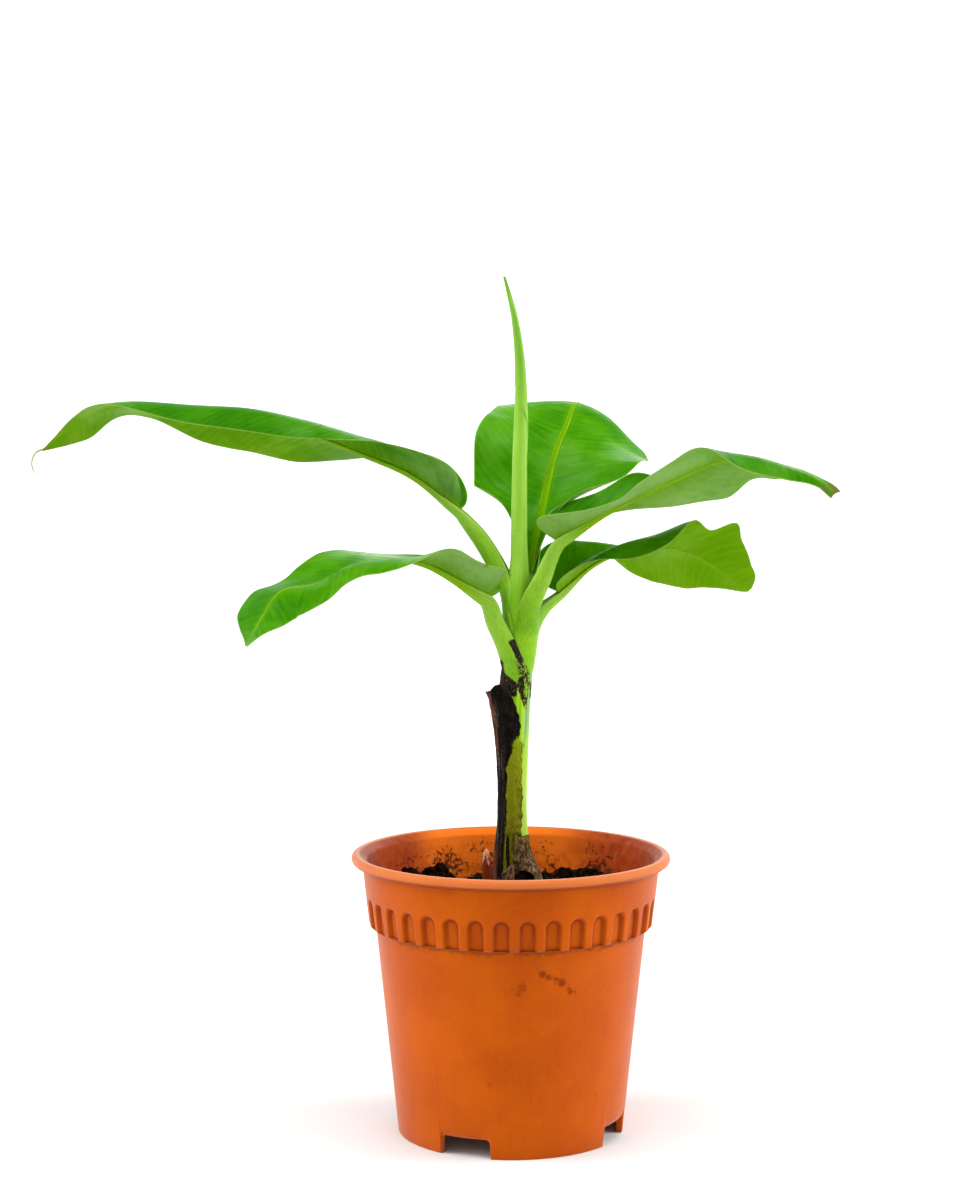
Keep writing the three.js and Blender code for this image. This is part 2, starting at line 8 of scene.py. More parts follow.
import bpy
import math
import numpy as np
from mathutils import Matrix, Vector


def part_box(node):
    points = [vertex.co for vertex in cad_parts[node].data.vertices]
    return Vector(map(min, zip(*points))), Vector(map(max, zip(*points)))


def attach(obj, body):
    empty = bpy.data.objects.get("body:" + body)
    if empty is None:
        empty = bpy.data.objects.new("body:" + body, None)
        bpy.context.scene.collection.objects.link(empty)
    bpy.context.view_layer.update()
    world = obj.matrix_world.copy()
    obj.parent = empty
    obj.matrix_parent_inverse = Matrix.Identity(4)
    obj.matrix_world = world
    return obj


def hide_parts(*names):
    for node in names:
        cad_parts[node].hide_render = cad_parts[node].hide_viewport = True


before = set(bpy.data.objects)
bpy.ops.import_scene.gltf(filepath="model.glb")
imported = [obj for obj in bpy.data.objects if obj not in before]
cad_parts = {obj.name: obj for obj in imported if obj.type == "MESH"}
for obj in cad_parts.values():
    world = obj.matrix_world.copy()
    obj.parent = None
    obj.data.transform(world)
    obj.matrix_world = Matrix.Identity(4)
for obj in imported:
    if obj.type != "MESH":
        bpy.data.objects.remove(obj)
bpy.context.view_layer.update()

# %% [markdown]
# The plant leans out further on one side than on the other, so the middle of its box isn't the middle
# of the pot. All sizes below are in millimetres from the pot's own axis and foot. The pot's CAD box
# says where that axis is, and one helper turns such sizes into metres in the shared frame.

# %% Millimetres from the pot's axis
pot_low, pot_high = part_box("pot")
POT_AXIS = np.array([(pot_low[0] + pot_high[0]) / 2, (pot_low[1] + pot_high[1]) / 2, 0.0])


def metres(points_mm):
    return np.asarray(points_mm, float) * 0.001 + POT_AXIS


print("pot axis at", POT_AXIS.round(4), "pot height", round(pot_high[2] - pot_low[2], 4))

# %% [markdown]
# The camera stands where the photographer's did. The rim and the foot of the pot are circles, and how
# flat their ellipses look gives the height and tilt of the camera, while how much smaller the foot
# looks than the rim gives its distance. The lens follows from the pot's width in the picture.

# %% Camera
PICTURE_HEIGHT = 1200
FOCAL_PIXELS = 2479
SENSOR = 36.0
CAMERA_FROM_AXIS = (-19.3, -1541.0, 450.0)
CAMERA_DOWN = math.radians(4.28)

camera_data = bpy.data.cameras.new("photo_camera")
camera_data.sensor_width = SENSOR
camera_data.lens = FOCAL_PIXELS / PICTURE_HEIGHT * SENSOR
camera = bpy.data.objects.new("photo_camera", camera_data)
camera.location = metres(CAMERA_FROM_AXIS)
camera.rotation_euler = (math.pi / 2 - CAMERA_DOWN, 0, 0)
bpy.context.collection.objects.link(camera)
bpy.context.scene.camera = camera
print("lens", round(camera_data.lens, 1), "mm")

# %% [markdown]
# A product photo like this one is lit from all round by big soft boxes in a white room. The floor here
# is a wide pale dish: flat under the pot, then rising in one smooth curve, so that no horizon line
# shows from any side. It is spun from a short profile and takes no part in the object.

# %% Small helpers for meshes
def link(name, mesh):
    made = bpy.data.objects.new(name, mesh)
    bpy.context.collection.objects.link(made)
    return made


def mesh_of(name, points, faces):
    mesh = bpy.data.meshes.new(name)
    mesh.from_pydata([tuple(p) for p in points], [], faces)
    mesh.validate()
    mesh.polygons.foreach_set("use_smooth", [True] * len(mesh.polygons))
    mesh.update()
    return mesh


def mark_points(mesh, marks):
    """Named values that the mesh carries, one for each point, for its shape tree or its finish."""
    for label, values in marks.items():
        held = mesh.attributes.new(label, "FLOAT", "POINT")
        held.data.foreach_set("value", np.asarray(values, float).reshape(-1))


def grid_faces(rows, columns, closed=False):
    """Quads between the points of a grid, row by row; closed joins the last column to the first."""
    faces = []
    for i in range(rows - 1):
        for j in range(columns if closed else columns - 1):
            k = (j + 1) % columns
            faces.append((i * columns + j, i * columns + k, (i + 1) * columns + k, (i + 1) * columns + j))
    return faces


# %% Floor dish
FLOOR_FLAT = 3.2
DISH_CURVE = 2.4
DISH_TOP = 5.0
SPOKES = 96
dish = [(0.02, 0.0), (1.0, 0.0), (FLOOR_FLAT, 0.0)]
dish += [
    (FLOOR_FLAT + DISH_CURVE * math.sin(a), DISH_CURVE * (1 - math.cos(a)))
    for a in np.linspace(0.1, math.pi / 2, 14)
]
dish.append((FLOOR_FLAT + DISH_CURVE, DISH_TOP))
dish_points = []
for radius, height in dish:
    for k in range(SPOKES):
        a = math.tau * k / SPOKES
        dish_points.append((radius * math.cos(a), radius * math.sin(a), height))
dish_faces = [tuple(reversed(face)) for face in grid_faces(len(dish), SPOKES, closed=True)]
dish_faces.append(tuple(range(SPOKES)))
floor = link("floor_dish", mesh_of("floor_dish", dish_points, dish_faces))
print("floor faces", len(dish_faces))

# %% [markdown]
# Four soft boxes: one at each side, a little to the front, one straight above and one behind. The two
# side boxes leave the middle of the pot a shade darker than its flanks, and big lamps close by give
# the broad, gentle highlights that wax on a leaf shows.

# %% Soft boxes and room light
def soft_box(name, place, aim, size, watts):
    lamp = bpy.data.lights.new(name, "AREA")
    lamp.shape = "RECTANGLE"
    lamp.size, lamp.size_y = size
    lamp.energy = watts
    made = bpy.data.objects.new(name, lamp)
    made.location = place
    direction = Vector(aim) - Vector(place)
    made.rotation_euler = direction.to_track_quat("-Z", "Y").to_euler()
    bpy.context.collection.objects.link(made)


PLANT_MIDDLE = (0.0, 0.0, 0.3)
ROOM_LIGHT = 0.34
soft_box("left_box", (-2.2, -0.1, 1.4), PLANT_MIDDLE, (1.3, 1.5), 43)
soft_box("right_box", (2.3, 0.0, 1.25), PLANT_MIDDLE, (1.2, 1.5), 44)
soft_box("top_box", (0.0, -0.5, 2.3), PLANT_MIDDLE, (1.7, 1.7), 38)
soft_box("back_box", (0.6, 2.2, 1.3), PLANT_MIDDLE, (1.8, 1.4), 14)

world = bpy.data.worlds.new("white_room")
world.use_nodes = True
room = world.node_tree.nodes["Background"]
room.inputs["Color"].default_value = (1.0, 1.0, 1.0, 1.0)
room.inputs["Strength"].default_value = ROOM_LIGHT
bpy.context.scene.world = world
bpy.context.scene.view_settings.view_transform = "Standard"
print("lights", len(bpy.data.lights))

# %% [markdown]
# Node trees for finishes and for shapes are built with a few short helpers. `add` makes a node and
# fills its inputs by name, and a value that is itself a socket is linked instead. The same helpers
# serve shader trees and Geometry Nodes trees, because both share the Math and Map Range nodes.

# %% Node helpers
def put(tree, socket, value):
    if isinstance(value, bpy.types.NodeSocket):
        tree.links.new(value, socket)
    elif value is not None:
        socket.default_value = value


def add(tree, kind, settings=None, **inputs):
    made = tree.nodes.new(kind)
    for key, value in (settings or {}).items():
        setattr(made, key, value)
    for key, value in inputs.items():
        put(tree, made.inputs[key.replace("_", " ")], value)
    return made


def calc(tree, operation, first, second=None, third=None):
    made = tree.nodes.new("ShaderNodeMath")
    made.operation = operation
    for socket, value in zip(made.inputs, (first, second, third)):
        put(tree, socket, value)
    return made.outputs[0]


def times(tree, *factors):
    product = factors[0]
    for factor in factors[1:]:
        product = calc(tree, "MULTIPLY", product, factor)
    return product


def plus(tree, *parts):
    total = parts[0]
    for part in parts[1:]:
        total = calc(tree, "ADD", total, part)
    return total


def minus(tree, first, second):
    return calc(tree, "SUBTRACT", first, second)


def remap(tree, value, low, high, to_low=0.0, to_high=1.0, smooth=True):
    """The value's way from low to high, turned into the way from to_low to to_high."""
    made = tree.nodes.new("ShaderNodeMapRange")
    made.interpolation_type = "SMOOTHSTEP" if smooth else "LINEAR"
    for socket, number in zip(made.inputs, (value, low, high, to_low, to_high)):
        put(tree, socket, number)
    return made.outputs[0]


def band(tree, value, from_0, from_1, to_1, to_0):
    """1 between the two inner limits and 0 outside the two outer ones."""
    return times(tree, remap(tree, value, from_0, from_1), remap(tree, value, to_0, to_1))


# %% Colours and patterns
def colour(red, green, blue):
    """A colour as a picture shows it, 0 to 255, in the linear numbers that a shader takes."""
    shares = [c / 255 for c in (red, green, blue)]
    linear = [s / 12.92 if s <= 0.04045 else ((s + 0.055) / 1.055) ** 2.4 for s in shares]
    return (*linear, 1.0)


def tint(tree, share, first, second):
    """The first colour where share is 0, the second where it is 1."""
    made = tree.nodes.new("ShaderNodeMix")
    made.data_type = "RGBA"
    colour_inputs = (made.inputs[6], made.inputs[7])
    for socket, value in zip((made.inputs[0], *colour_inputs), (share, first, second)):
        put(tree, socket, value)
    return made.outputs[2]


def noise(tree, place, scale, detail=3.0, rough=0.55, squash=None):
    """Noise by place, 0 to 1; squash stretches the pattern by a factor on each axis."""
    if squash is not None:
        place = add(tree, "ShaderNodeMapping", Vector=place, Scale=squash).outputs[0]
    made = add(tree, "ShaderNodeTexNoise", Vector=place, Scale=scale, Detail=detail, Roughness=rough)
    return made.outputs[0]


def attribute(tree, name):
    return add(tree, "ShaderNodeAttribute", {"attribute_name": name}).outputs["Fac"]


# %% The first and the last nodes of a finish
def new_finish(name):
    """An empty material: its tree, its place input and a function that closes it."""
    material = bpy.data.materials.new(name)
    material.use_nodes = True
    tree = material.node_tree
    tree.nodes.clear()
    place = add(tree, "ShaderNodeTexCoord").outputs["Object"]
    return material, tree, place


def close_finish(tree, base, rough, bump=None, bump_depth=0.0005, bump_strength=1.0, glow=None, **more):
    """Principled shader with the given colour, roughness and bump, and some light through the leaf."""
    shader = add(tree, "ShaderNodeBsdfPrincipled", Base_Color=base, Roughness=rough, **more)
    if bump is not None:
        relief = add(tree, "ShaderNodeBump", Height=bump, Distance=bump_depth, Strength=bump_strength)
        put(tree, shader.inputs["Normal"], relief.outputs[0])
    surface = shader.outputs[0]
    if glow is not None:
        through = add(tree, "ShaderNodeBsdfTranslucent", Color=glow[0])
        mixed = tree.nodes.new("ShaderNodeMixShader")
        mixed.inputs[0].default_value = glow[1]
        tree.links.new(surface, mixed.inputs[1])
        tree.links.new(through.outputs[0], mixed.inputs[2])
        surface = mixed.outputs[0]
    output = tree.nodes.new("ShaderNodeOutputMaterial")
    tree.links.new(surface, output.inputs["Surface"])


# %% Floor finish
def floor_finish():
    """White paper that glows where it rises, as painted light: most at the back, least behind the camera.
    """
    material, tree, place = new_finish("pale_floor")
    parts = add(tree, "ShaderNodeSeparateXYZ", Vector=place)
    patch = noise(tree, place, 3.0)
    low = tint(tree, patch, colour(226, 226, 225), colour(230, 230, 230))
    rising = calc(
        tree, "MAXIMUM", remap(tree, parts.outputs[2], 0.0, 0.12), remap(tree, parts.outputs[1], 0.7, 2.0)
    )
    # Painted light: the rising part is painted whiter, and it glows through the emission below.
    base = tint(tree, rising, low, colour(250, 250, 250))
    behind = remap(tree, parts.outputs[1], -2.5, 1.0, 0.05, 0.46)
    light = times(tree, rising, behind)
    close_finish(
        tree, base, 1.0, Specular_IOR_Level=0.1, Emission_Color=colour(255, 255, 255),
        Emission_Strength=light,
    )
    return material


floor.data.materials.append(floor_finish())

# %% [markdown]
# Geometry Nodes trees are built by the same helpers. `shape_tree` makes an empty tree with named
# inputs, and `run_tree` gives the tree its sizes by each socket's own identifier, evaluates it once
# and turns what it made into a plain mesh, because the export drops modifiers' instances.

# %% Geometry Nodes helpers
def shape_tree(name, sizes):
    tree = bpy.data.node_groups.new(name, "GeometryNodeTree")
    tree.interface.new_socket("Geometry", in_out="INPUT", socket_type="NodeSocketGeometry")
    for label, value in sizes.items():
        kind = {bool: "Bool", int: "Int", float: "Float"}.get(type(value), "Material")
        tree.interface.new_socket(label, in_out="INPUT", socket_type="NodeSocket" + kind)
    tree.interface.new_socket("Geometry", in_out="OUTPUT", socket_type="NodeSocketGeometry")
    start = tree.nodes.new("NodeGroupInput")
    end = tree.nodes.new("NodeGroupOutput")
    return tree, start.outputs, end.inputs[0]


def run_tree(name, tree, sizes, start_mesh):
    carrier = link(name + "_start", start_mesh)
    modifier = carrier.modifiers.new(name, "NODES")
    modifier.node_group = tree
    for item in tree.interface.items_tree:
        if item.item_type == "SOCKET" and item.in_out == "INPUT" and item.name in sizes:
            modifier[item.identifier] = sizes[item.name]
    bpy.context.view_layer.update()
    evaluated = carrier.evaluated_get(bpy.context.evaluated_depsgraph_get())
    mesh = bpy.data.meshes.new_from_object(evaluated)
    mesh.name = name
    carrier.modifiers.remove(modifier)
    bpy.data.objects.remove(carrier)
    made = link(name, mesh)
    print(name, "faces", len(mesh.polygons))
    return made


def named(tree, label):
    made = add(tree, "GeometryNodeInputNamedAttribute", {"data_type": "FLOAT"}, Name=label)
    return made.outputs[0]


def marked(tree, geometry, label, value):
    """The geometry with a named value stored on its points."""
    settings = {"data_type": "FLOAT", "domain": "POINT"}
    stored = add(tree, "GeometryNodeStoreNamedAttribute", settings, Geometry=geometry, Name=label)
    put(tree, stored.inputs["Value"], value)
    return stored.outputs[0]


def finish_tree(tree, geometry, material, end):
    """The two nodes that every tree ends in."""
    real = add(tree, "GeometryNodeRealizeInstances", Geometry=geometry).outputs[0]
    painted = add(tree, "GeometryNodeSetMaterial", Geometry=real, Material=material).outputs[0]
    put(tree, end, painted)


def ride_as(piece, slot_name, *nodes):
    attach(piece, "root")
    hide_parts(*nodes)


# %% [markdown]
# The pot is moulded plastic: a tapered wall, a wider collar with a band of arched flutes, a rolled rim
# and a foot ring with four notches. It could be spun and cut with Booleans, but one rule covers it
# all: a profile goes round the axis, each flute moves the wall in where a point lies inside its arch,
# and each notch lifts the foot where a point lies between its sides. The profile is a short list of
# corners with a rounding each.

# %% Pot profile
RIM_RADIUS, RIM_TUBE, RIM_HEIGHT = 100.0, 3.3, 173.0
FOOT_RADIUS, FOOT_INNER, BODY_TAPER = 70.8, 67.4, 0.1063
FLOOR_UNDERSIDE, FLOOR_TOP = 12.4, 14.8
COLLAR_BOTTOM, COLLAR_TOP, COLLAR_LOW_RADIUS, COLLAR_SLOPE = 131.4, 168.6, 88.8, 0.117
COLLAR_INNER_LOW, COLLAR_STEP, FLUTES_REACH = 85.5, 2.6, 21
WALL = 2.4


def body_radius(z):
    return FOOT_RADIUS + BODY_TAPER * z


def collar_inner(z):
    return COLLAR_INNER_LOW + 0.12 * (z - COLLAR_BOTTOM - COLLAR_STEP)


def round_corners(corners):
    """A profile from corners (r, z, rounding, spacing after it): each corner becomes a small arc."""
    points = []
    count = len(corners)
    for i, (r, z, rounding, spacing) in enumerate(corners):
        here = np.array([r, z], float)
        before = np.array(corners[max(i - 1, 0)][:2], float)
        after = np.array(corners[min(i + 1, count - 1)][:2], float)
        if rounding and 0 < i < count - 1:
            into = (before - here) / np.linalg.norm(before - here)
            out = (after - here) / np.linalg.norm(after - here)
            for t in np.linspace(0, 1, 4):
                bend = (1 - t) ** 2 * (here + into * rounding) + 2 * t * (1 - t) * here
                points.append(bend + t * t * (here + out * rounding))
        else:
            points.append(here)
        if i < count - 1:
            ahead = (after - here) / np.linalg.norm(after - here)
            start = points[-1]
            goal = after - ahead * corners[i + 1][2]
            steps = max(int(np.linalg.norm(goal - start) / spacing), 1)
            points += [start + (goal - start) * k / steps for k in range(1, steps)]
    return np.array(points)


bead = RIM_RADIUS - RIM_TUBE
corners = [
    (0.5, FLOOR_UNDERSIDE, 0, 30),
    (FOOT_INNER, FLOOR_UNDERSIDE, 0, 20),
    (FOOT_INNER, 0, 0.5, 20),
    (FOOT_RADIUS, 0, 0.8, 14),
    (body_radius(COLLAR_BOTTOM - 1), COLLAR_BOTTOM - 1, 1.2, 4),
    (COLLAR_LOW_RADIUS, COLLAR_BOTTOM, 0.7, 0.9),
    (COLLAR_LOW_RADIUS + COLLAR_SLOPE * FLUTES_REACH, COLLAR_BOTTOM + FLUTES_REACH, 0, 6),
    (COLLAR_LOW_RADIUS + COLLAR_SLOPE * (COLLAR_TOP - COLLAR_BOTTOM), COLLAR_TOP + 1.6, 0.6, 2),
]
rim_turns = [math.radians(a) for a in range(-150, 131, 28)]
corners += [
    (bead + RIM_TUBE * math.cos(a), RIM_HEIGHT + RIM_TUBE * math.sin(a), 0, 2) for a in rim_turns
]
corners += [
    (collar_inner(RIM_HEIGHT - 1), RIM_HEIGHT - 1, 1.0, 8),
    (COLLAR_INNER_LOW, COLLAR_BOTTOM + COLLAR_STEP, 0, 6),
    (body_radius(COLLAR_BOTTOM - 2) - WALL, COLLAR_BOTTOM - 2, 0, 40),
    (body_radius(FLOOR_TOP) - WALL, FLOOR_TOP, 0, 40),
    (0.5, FLOOR_TOP, 0, 3),
]
profile = round_corners(corners)
on_collar = [
    r > COLLAR_LOW_RADIUS - 0.6 and COLLAR_BOTTOM - 0.3 < z < COLLAR_BOTTOM + FLUTES_REACH
    for r, z in profile
]
rim_at = int(np.argmax(profile[:, 1]))
inner_side = [k > rim_at for k in range(len(profile))]
print("profile points", len(profile), "of which inside", sum(inner_side))

# %% Pot sizes, flutes and notches
pot_sizes = {
    "Columns": 864,
    "Rows": len(profile),
    "Flutes": 36.0,
    "Flute phase": math.radians(-94.2),
    "Flute half width": 0.0047,
    "Flute straight": 0.0138,
    "Flute depth": 0.0027,
    "Flute softness": 0.0008,
    "Collar bottom": COLLAR_BOTTOM * 0.001,
    "Notch phase": math.radians(-114),
    "Notch half width": 0.0165,
    "Notch top": 0.012,
    "Notch rounding": 0.0032,
    "Axis X": float(POT_AXIS[0]),
    "Axis Y": float(POT_AXIS[1]),
    "Finish": None,
}


def flute_share(tree, given, turn, radius, height):
    """How far inside a flute's arch a point lies, 0 to 1, and how near the arch's outline it is."""
    pitch = calc(tree, "DIVIDE", math.tau, given["Flutes"])
    turns = calc(tree, "DIVIDE", minus(tree, turn, given["Flute phase"]), pitch)
    cell = minus(tree, calc(tree, "FRACT", plus(tree, turns, 0.5)), 0.5)
    aside = times(tree, cell, pitch, radius)
    rise = minus(tree, minus(tree, height, given["Collar bottom"]), given["Flute straight"])
    rise = calc(tree, "MAXIMUM", rise, 0.0)
    reach = calc(tree, "SQRT", plus(tree, times(tree, aside, aside), times(tree, rise, rise)))
    outside = minus(tree, reach, given["Flute half width"])
    negative = times(tree, given["Flute softness"], -1.0)
    inside = remap(tree, outside, negative, given["Flute softness"], 1.0, 0.0)
    return inside, remap(tree, outside, -0.0032, -0.0006, 0.2, 1.0)


def notch_lift(tree, given, turn):
    """How high a notch lifts the foot at this turn: a slot with rounded upper corners."""
    quarters = calc(tree, "DIVIDE", minus(tree, turn, given["Notch phase"]), math.pi / 2)
    side = minus(tree, calc(tree, "FRACT", plus(tree, quarters, 0.5)), 0.5)
    side = calc(tree, "ABSOLUTE", times(tree, side, FOOT_RADIUS * 0.001 * math.pi / 2))
    straight = minus(tree, given["Notch half width"], given["Notch rounding"])
    past = calc(tree, "MAXIMUM", minus(tree, side, straight), 0.0)
    square = times(tree, given["Notch rounding"], given["Notch rounding"])
    left = calc(tree, "SQRT", calc(tree, "MAXIMUM", minus(tree, square, times(tree, past, past)), 0.0))
    lift = minus(tree, given["Notch top"], minus(tree, given["Notch rounding"], left))
    return times(tree, lift, calc(tree, "LESS_THAN", side, given["Notch half width"]))


# %% Pot shape tree
def pot_tree():
    tree, given, end = shape_tree("turned_pot", pot_sizes)
    columns = plus(tree, given["Columns"], 1.0)
    plane = add(
        tree, "GeometryNodeMeshGrid", Size_X=1.0, Size_Y=1.0, Vertices_X=columns, Vertices_Y=given["Rows"]
    )
    where = add(tree, "ShaderNodeSeparateXYZ", Vector=add(tree, "GeometryNodeInputPosition").outputs[0])
    turn = times(tree, plus(tree, where.outputs[0], 0.5), math.tau)
    last = minus(tree, given["Rows"], 1.0)
    row = calc(tree, "ROUND", times(tree, plus(tree, where.outputs[1], 0.5), last))

    def from_profile(kind, value):
        settings = {"data_type": kind}
        sampled = add(tree, "GeometryNodeSampleIndex", settings, Geometry=given["Geometry"], Index=row)
        put(tree, sampled.inputs["Value"], value)
        return sampled.outputs[0]

    place = add(tree, "GeometryNodeInputPosition").outputs[0]
    point = add(tree, "ShaderNodeSeparateXYZ", Vector=from_profile("FLOAT_VECTOR", place))
    radius, height = point.outputs[0], point.outputs[2]
    fluted = from_profile("FLOAT", named(tree, "fluted"))
    inner = from_profile("FLOAT", named(tree, "inner"))

    inside, by_outline = flute_share(tree, given, turn, radius, height)
    inside = times(tree, inside, fluted)
    shaded = times(tree, inside, by_outline)
    radius = minus(tree, radius, times(tree, inside, given["Flute depth"]))
    height = calc(tree, "MAXIMUM", height, notch_lift(tree, given, turn))

    x = plus(tree, times(tree, radius, calc(tree, "COSINE", turn)), given["Axis X"])
    y = plus(tree, times(tree, radius, calc(tree, "SINE", turn)), given["Axis Y"])
    put_at = add(tree, "ShaderNodeCombineXYZ", X=x, Y=y, Z=height).outputs[0]
    shell = marked(tree, plane.outputs[0], "inner", inner)
    shell = marked(tree, shell, "shaded", shaded)
    turned = add(tree, "GeometryNodeSetPosition", Geometry=shell, Position=put_at).outputs[0]
    merged = add(tree, "GeometryNodeMergeByDistance", Geometry=turned, Distance=0.00002).outputs[0]
    smooth = add(tree, "GeometryNodeSetShadeSmooth", Geometry=merged, Shade_Smooth=True).outputs[0]
    finish_tree(tree, smooth, given["Finish"], end)
    return tree


POT_TREE = pot_tree()
print("pot tree nodes", len(POT_TREE.nodes))

# %% [markdown]
# The pot's plastic is a warm orange with a satin skin. A real nursery pot shows fine scuffs, a slightly
# mottled colour, watering splashes inside and brown smudges where soil was wiped off. The stains are
# soft spots at named places on the wall, and noise breaks their edges.

# %% Stains on the pot
# Each stain: x, y, z, how far it reaches and how strong it is. The chain is one smear of small spots.
STAINS = [
    (3.0, -81.0, 108.0, 10.0, 0.5),
    (-13.0, -75.0, 47.0, 4.0, 0.8),
    (52.0, -55.0, 36.0, 3.5, 0.8),
    (58.0, -80.0, 174.0, 12.0, 0.5),
    (-70.0, 30.0, 60.0, 10.0, 0.6),
    (20.0, 78.0, 90.0, 12.0, 0.6),
]
CHAIN = [
    (13.5, -81.0, 119.0), (22.0, -79.0, 114.5), (30.0, -76.5, 110.5), (35.0, -74.0, 105.0),
    (40.5, -71.5, 102.0),
]
for start, end in zip(CHAIN, CHAIN[1:]):
    for step in (0.0, 0.5):
        middle = [a + (b - a) * step for a, b in zip(start, end)]
        STAINS.append((*middle, 4.6, 0.75))
print("stains", len(STAINS))


def spot(tree, place, centre, size):
    """1 at the centre of a round spot, falling to 0 at its edge."""
    centre = [float(c) for c in metres(centre)]
    away = add(tree, "ShaderNodeVectorMath", {"operation": "DISTANCE"})
    put(tree, away.inputs[0], place)
    put(tree, away.inputs[1], centre)
    return remap(tree, away.outputs["Value"], 0.0, size * 0.001, 1.0, 0.0)


def stain_share(tree, place, ragged):
    stain = None
    for x, y, z, size, strength in STAINS:
        one = times(tree, spot(tree, place, (x, y, z), size), strength)
        stain = one if stain is None else calc(tree, "MAXIMUM", stain, one)
    return remap(tree, times(tree, stain, remap(tree, ragged, 0.35, 0.6)), 0.08, 0.5, 0.0, 0.8)


# %% Pot finish
def pot_finish():
    material, tree, place = new_finish("orange_plastic")
    cloud = noise(tree, place, 22.0, 4.0)
    base = tint(tree, remap(tree, cloud, 0.35, 0.7), colour(174, 71, 0), colour(188, 83, 0))
    fine = noise(tree, place, 900.0, 2.0)
    base = tint(tree, remap(tree, fine, 0.4, 0.7, 0.0, 0.2), base, colour(206, 104, 20))
    streaks = noise(tree, place, 260.0, 3.0, squash=(1.0, 1.0, 0.06))
    base = tint(tree, remap(tree, streaks, 0.58, 0.75, 0.0, 0.22), base, colour(156, 58, 0))

    ragged = noise(tree, place, 160.0, 5.0, 0.6)
    base = tint(tree, stain_share(tree, place, ragged), base, colour(118, 40, 0))

    # Splashed soil clings to the inside of the wall above the soil. The inner wall carries painted light
    # at the back and painted shade at both sides, and a painted shadow lies under the step outside.
    rim, step = RIM_HEIGHT * 0.001, COLLAR_BOTTOM * 0.001
    point = add(tree, "ShaderNodeSeparateXYZ", Vector=place)
    height = point.outputs[2]
    aside = minus(tree, point.outputs[0], float(POT_AXIS[0]))
    inside = remap(tree, attribute(tree, "inner"), 0.6, 0.9)
    # Painted shade darkens both sides of the inner wall, and the back is painted light.
    shaded_inner_sides = calc(tree, "MAXIMUM", remap(tree, aside, -0.044, -0.070), remap(tree, aside, 0.020, 0.068))
    shaded_inner_sides = times(tree, shaded_inner_sides, remap(tree, ragged, 0.3, 0.7, 0.8, 1.0))
    inner_light_and_shade = tint(tree, shaded_inner_sides, colour(244, 118, 26), colour(138, 42, 2))
    base = tint(tree, inside, base, inner_light_and_shade)
    outer = minus(tree, 1.0, inside)
    # Painted highlight: the top of the bead outside is paler.
    bead = times(tree, remap(tree, height, rim - 0.0018, rim - 0.0008), outer)
    base = tint(tree, times(tree, bead, 0.8), base, colour(200, 112, 60))
    # Painted shadow: a dark line just under the bead.
    groove = band(tree, height, rim - 0.0055, rim - 0.003, rim - 0.0024, rim - 0.0016)
    groove = times(tree, groove, outer, 0.75)
    base = tint(tree, groove, base, colour(112, 32, 0))
    low = remap(tree, height, rim + 0.005, rim - 0.023, 0.0, 0.2)
    clusters = remap(tree, noise(tree, place, 58.0, 2.0), 0.35, 0.65, -0.07, 0.07)
    splash = plus(tree, noise(tree, place, 400.0, 5.0, 0.7), clusters, low)
    splash = times(tree, remap(tree, splash, 0.71, 0.76), inside)
    splash = times(tree, splash, remap(tree, height, step + 0.0001, step + 0.0011))
    splash = times(tree, splash, remap(tree, height, rim + 0.0005, rim - 0.0015))
    # Darker in ragged patches lower down inside the pot.
    darker_low_inside = times(tree, low, remap(tree, ragged, 0.4, 0.65), inside)
    base = tint(tree, times(tree, darker_low_inside, 2.4), base, colour(168, 50, 2))
    base = tint(tree, times(tree, splash, 0.9), base, colour(52, 26, 14))
    # Painted shade in the flutes, darkest near their outlines and towards the arch tops.
    arch_top = remap(tree, height, step, step + 0.0176, 0.3, 0.85, smooth=False)
    base = tint(tree, times(tree, attribute(tree, "shaded"), arch_top), base, colour(124, 38, 0))
    # Painted shadow: a ragged dark line just under the step outside.
    reach = remap(tree, ragged, 0.3, 0.7, step - 0.0014, step - 0.0074)
    under = band(tree, height, reach, step - 0.0009, step - 0.0006, step + 0.0004)
    base = tint(tree, times(tree, under, 0.6), base, colour(104, 44, 6))

    rough = remap(tree, cloud, 0.2, 0.8, 0.36, 0.5)
    rough = plus(tree, rough, times(tree, splash, 0.3))
    grain = plus(tree, noise(tree, place, 1400.0, 2.0), times(tree, streaks, 0.6))
    close_finish(
        tree, base, rough, grain, bump_depth=0.00006, bump_strength=0.5, Specular_IOR_Level=0.04,
        Sheen_Weight=0.2, Sheen_Roughness=0.4,
    )
    return material


# %% Make the pot
start = bpy.data.meshes.new("pot_profile")
start.from_pydata([(r * 0.001, 0.0, z * 0.001) for r, z in profile], [], [])
mark_points(start, {"fluted": on_collar, "inner": inner_side})
pot_sizes["Finish"] = pot_finish()
pot_piece = run_tree("pot_shell", POT_TREE, pot_sizes, start)
ride_as(pot_piece, "pot_plastic", "pot")
print("pot box", [tuple(round(v, 4) for v in c) for c in pot_piece.bound_box][::6])

# %% [markdown]
# Potting soil is a dark crumbly heap: higher round the stem and in two mounds against the back wall.
# A closed body with a bumpy top carries it, and Geometry Nodes scatter the crumbs, bits of bark and a
# few pale grains over the top, each a small lump with its own size and turn.

# %% Soil body
SOIL_LEVEL, SOIL_AT_STEM, STEM_MOUND, TOP_REACH = 140.0, 156.7, 24.0, 84.0
# Each mound: x, y, its size across and its height.
MOUNDS = [
    (-66, 44, 14, 18), (-47, 62, 12, 16), (33, 70, 12, 11), (55, 57, 15, 14),
    (-30, -52, 26, 5), (48, -40, 24, 4),
]
# The bumps and the clods are sums of waves: how fast each one runs, its direction and its start.
chance = np.random.default_rng(11)
waves = [(chance.uniform(0.04, 0.32), *chance.uniform(0, math.tau, 2)) for _ in range(26)]
clods = [(chance.uniform(0.45, 1.1), *chance.uniform(0, math.tau, 2)) for _ in range(40)]


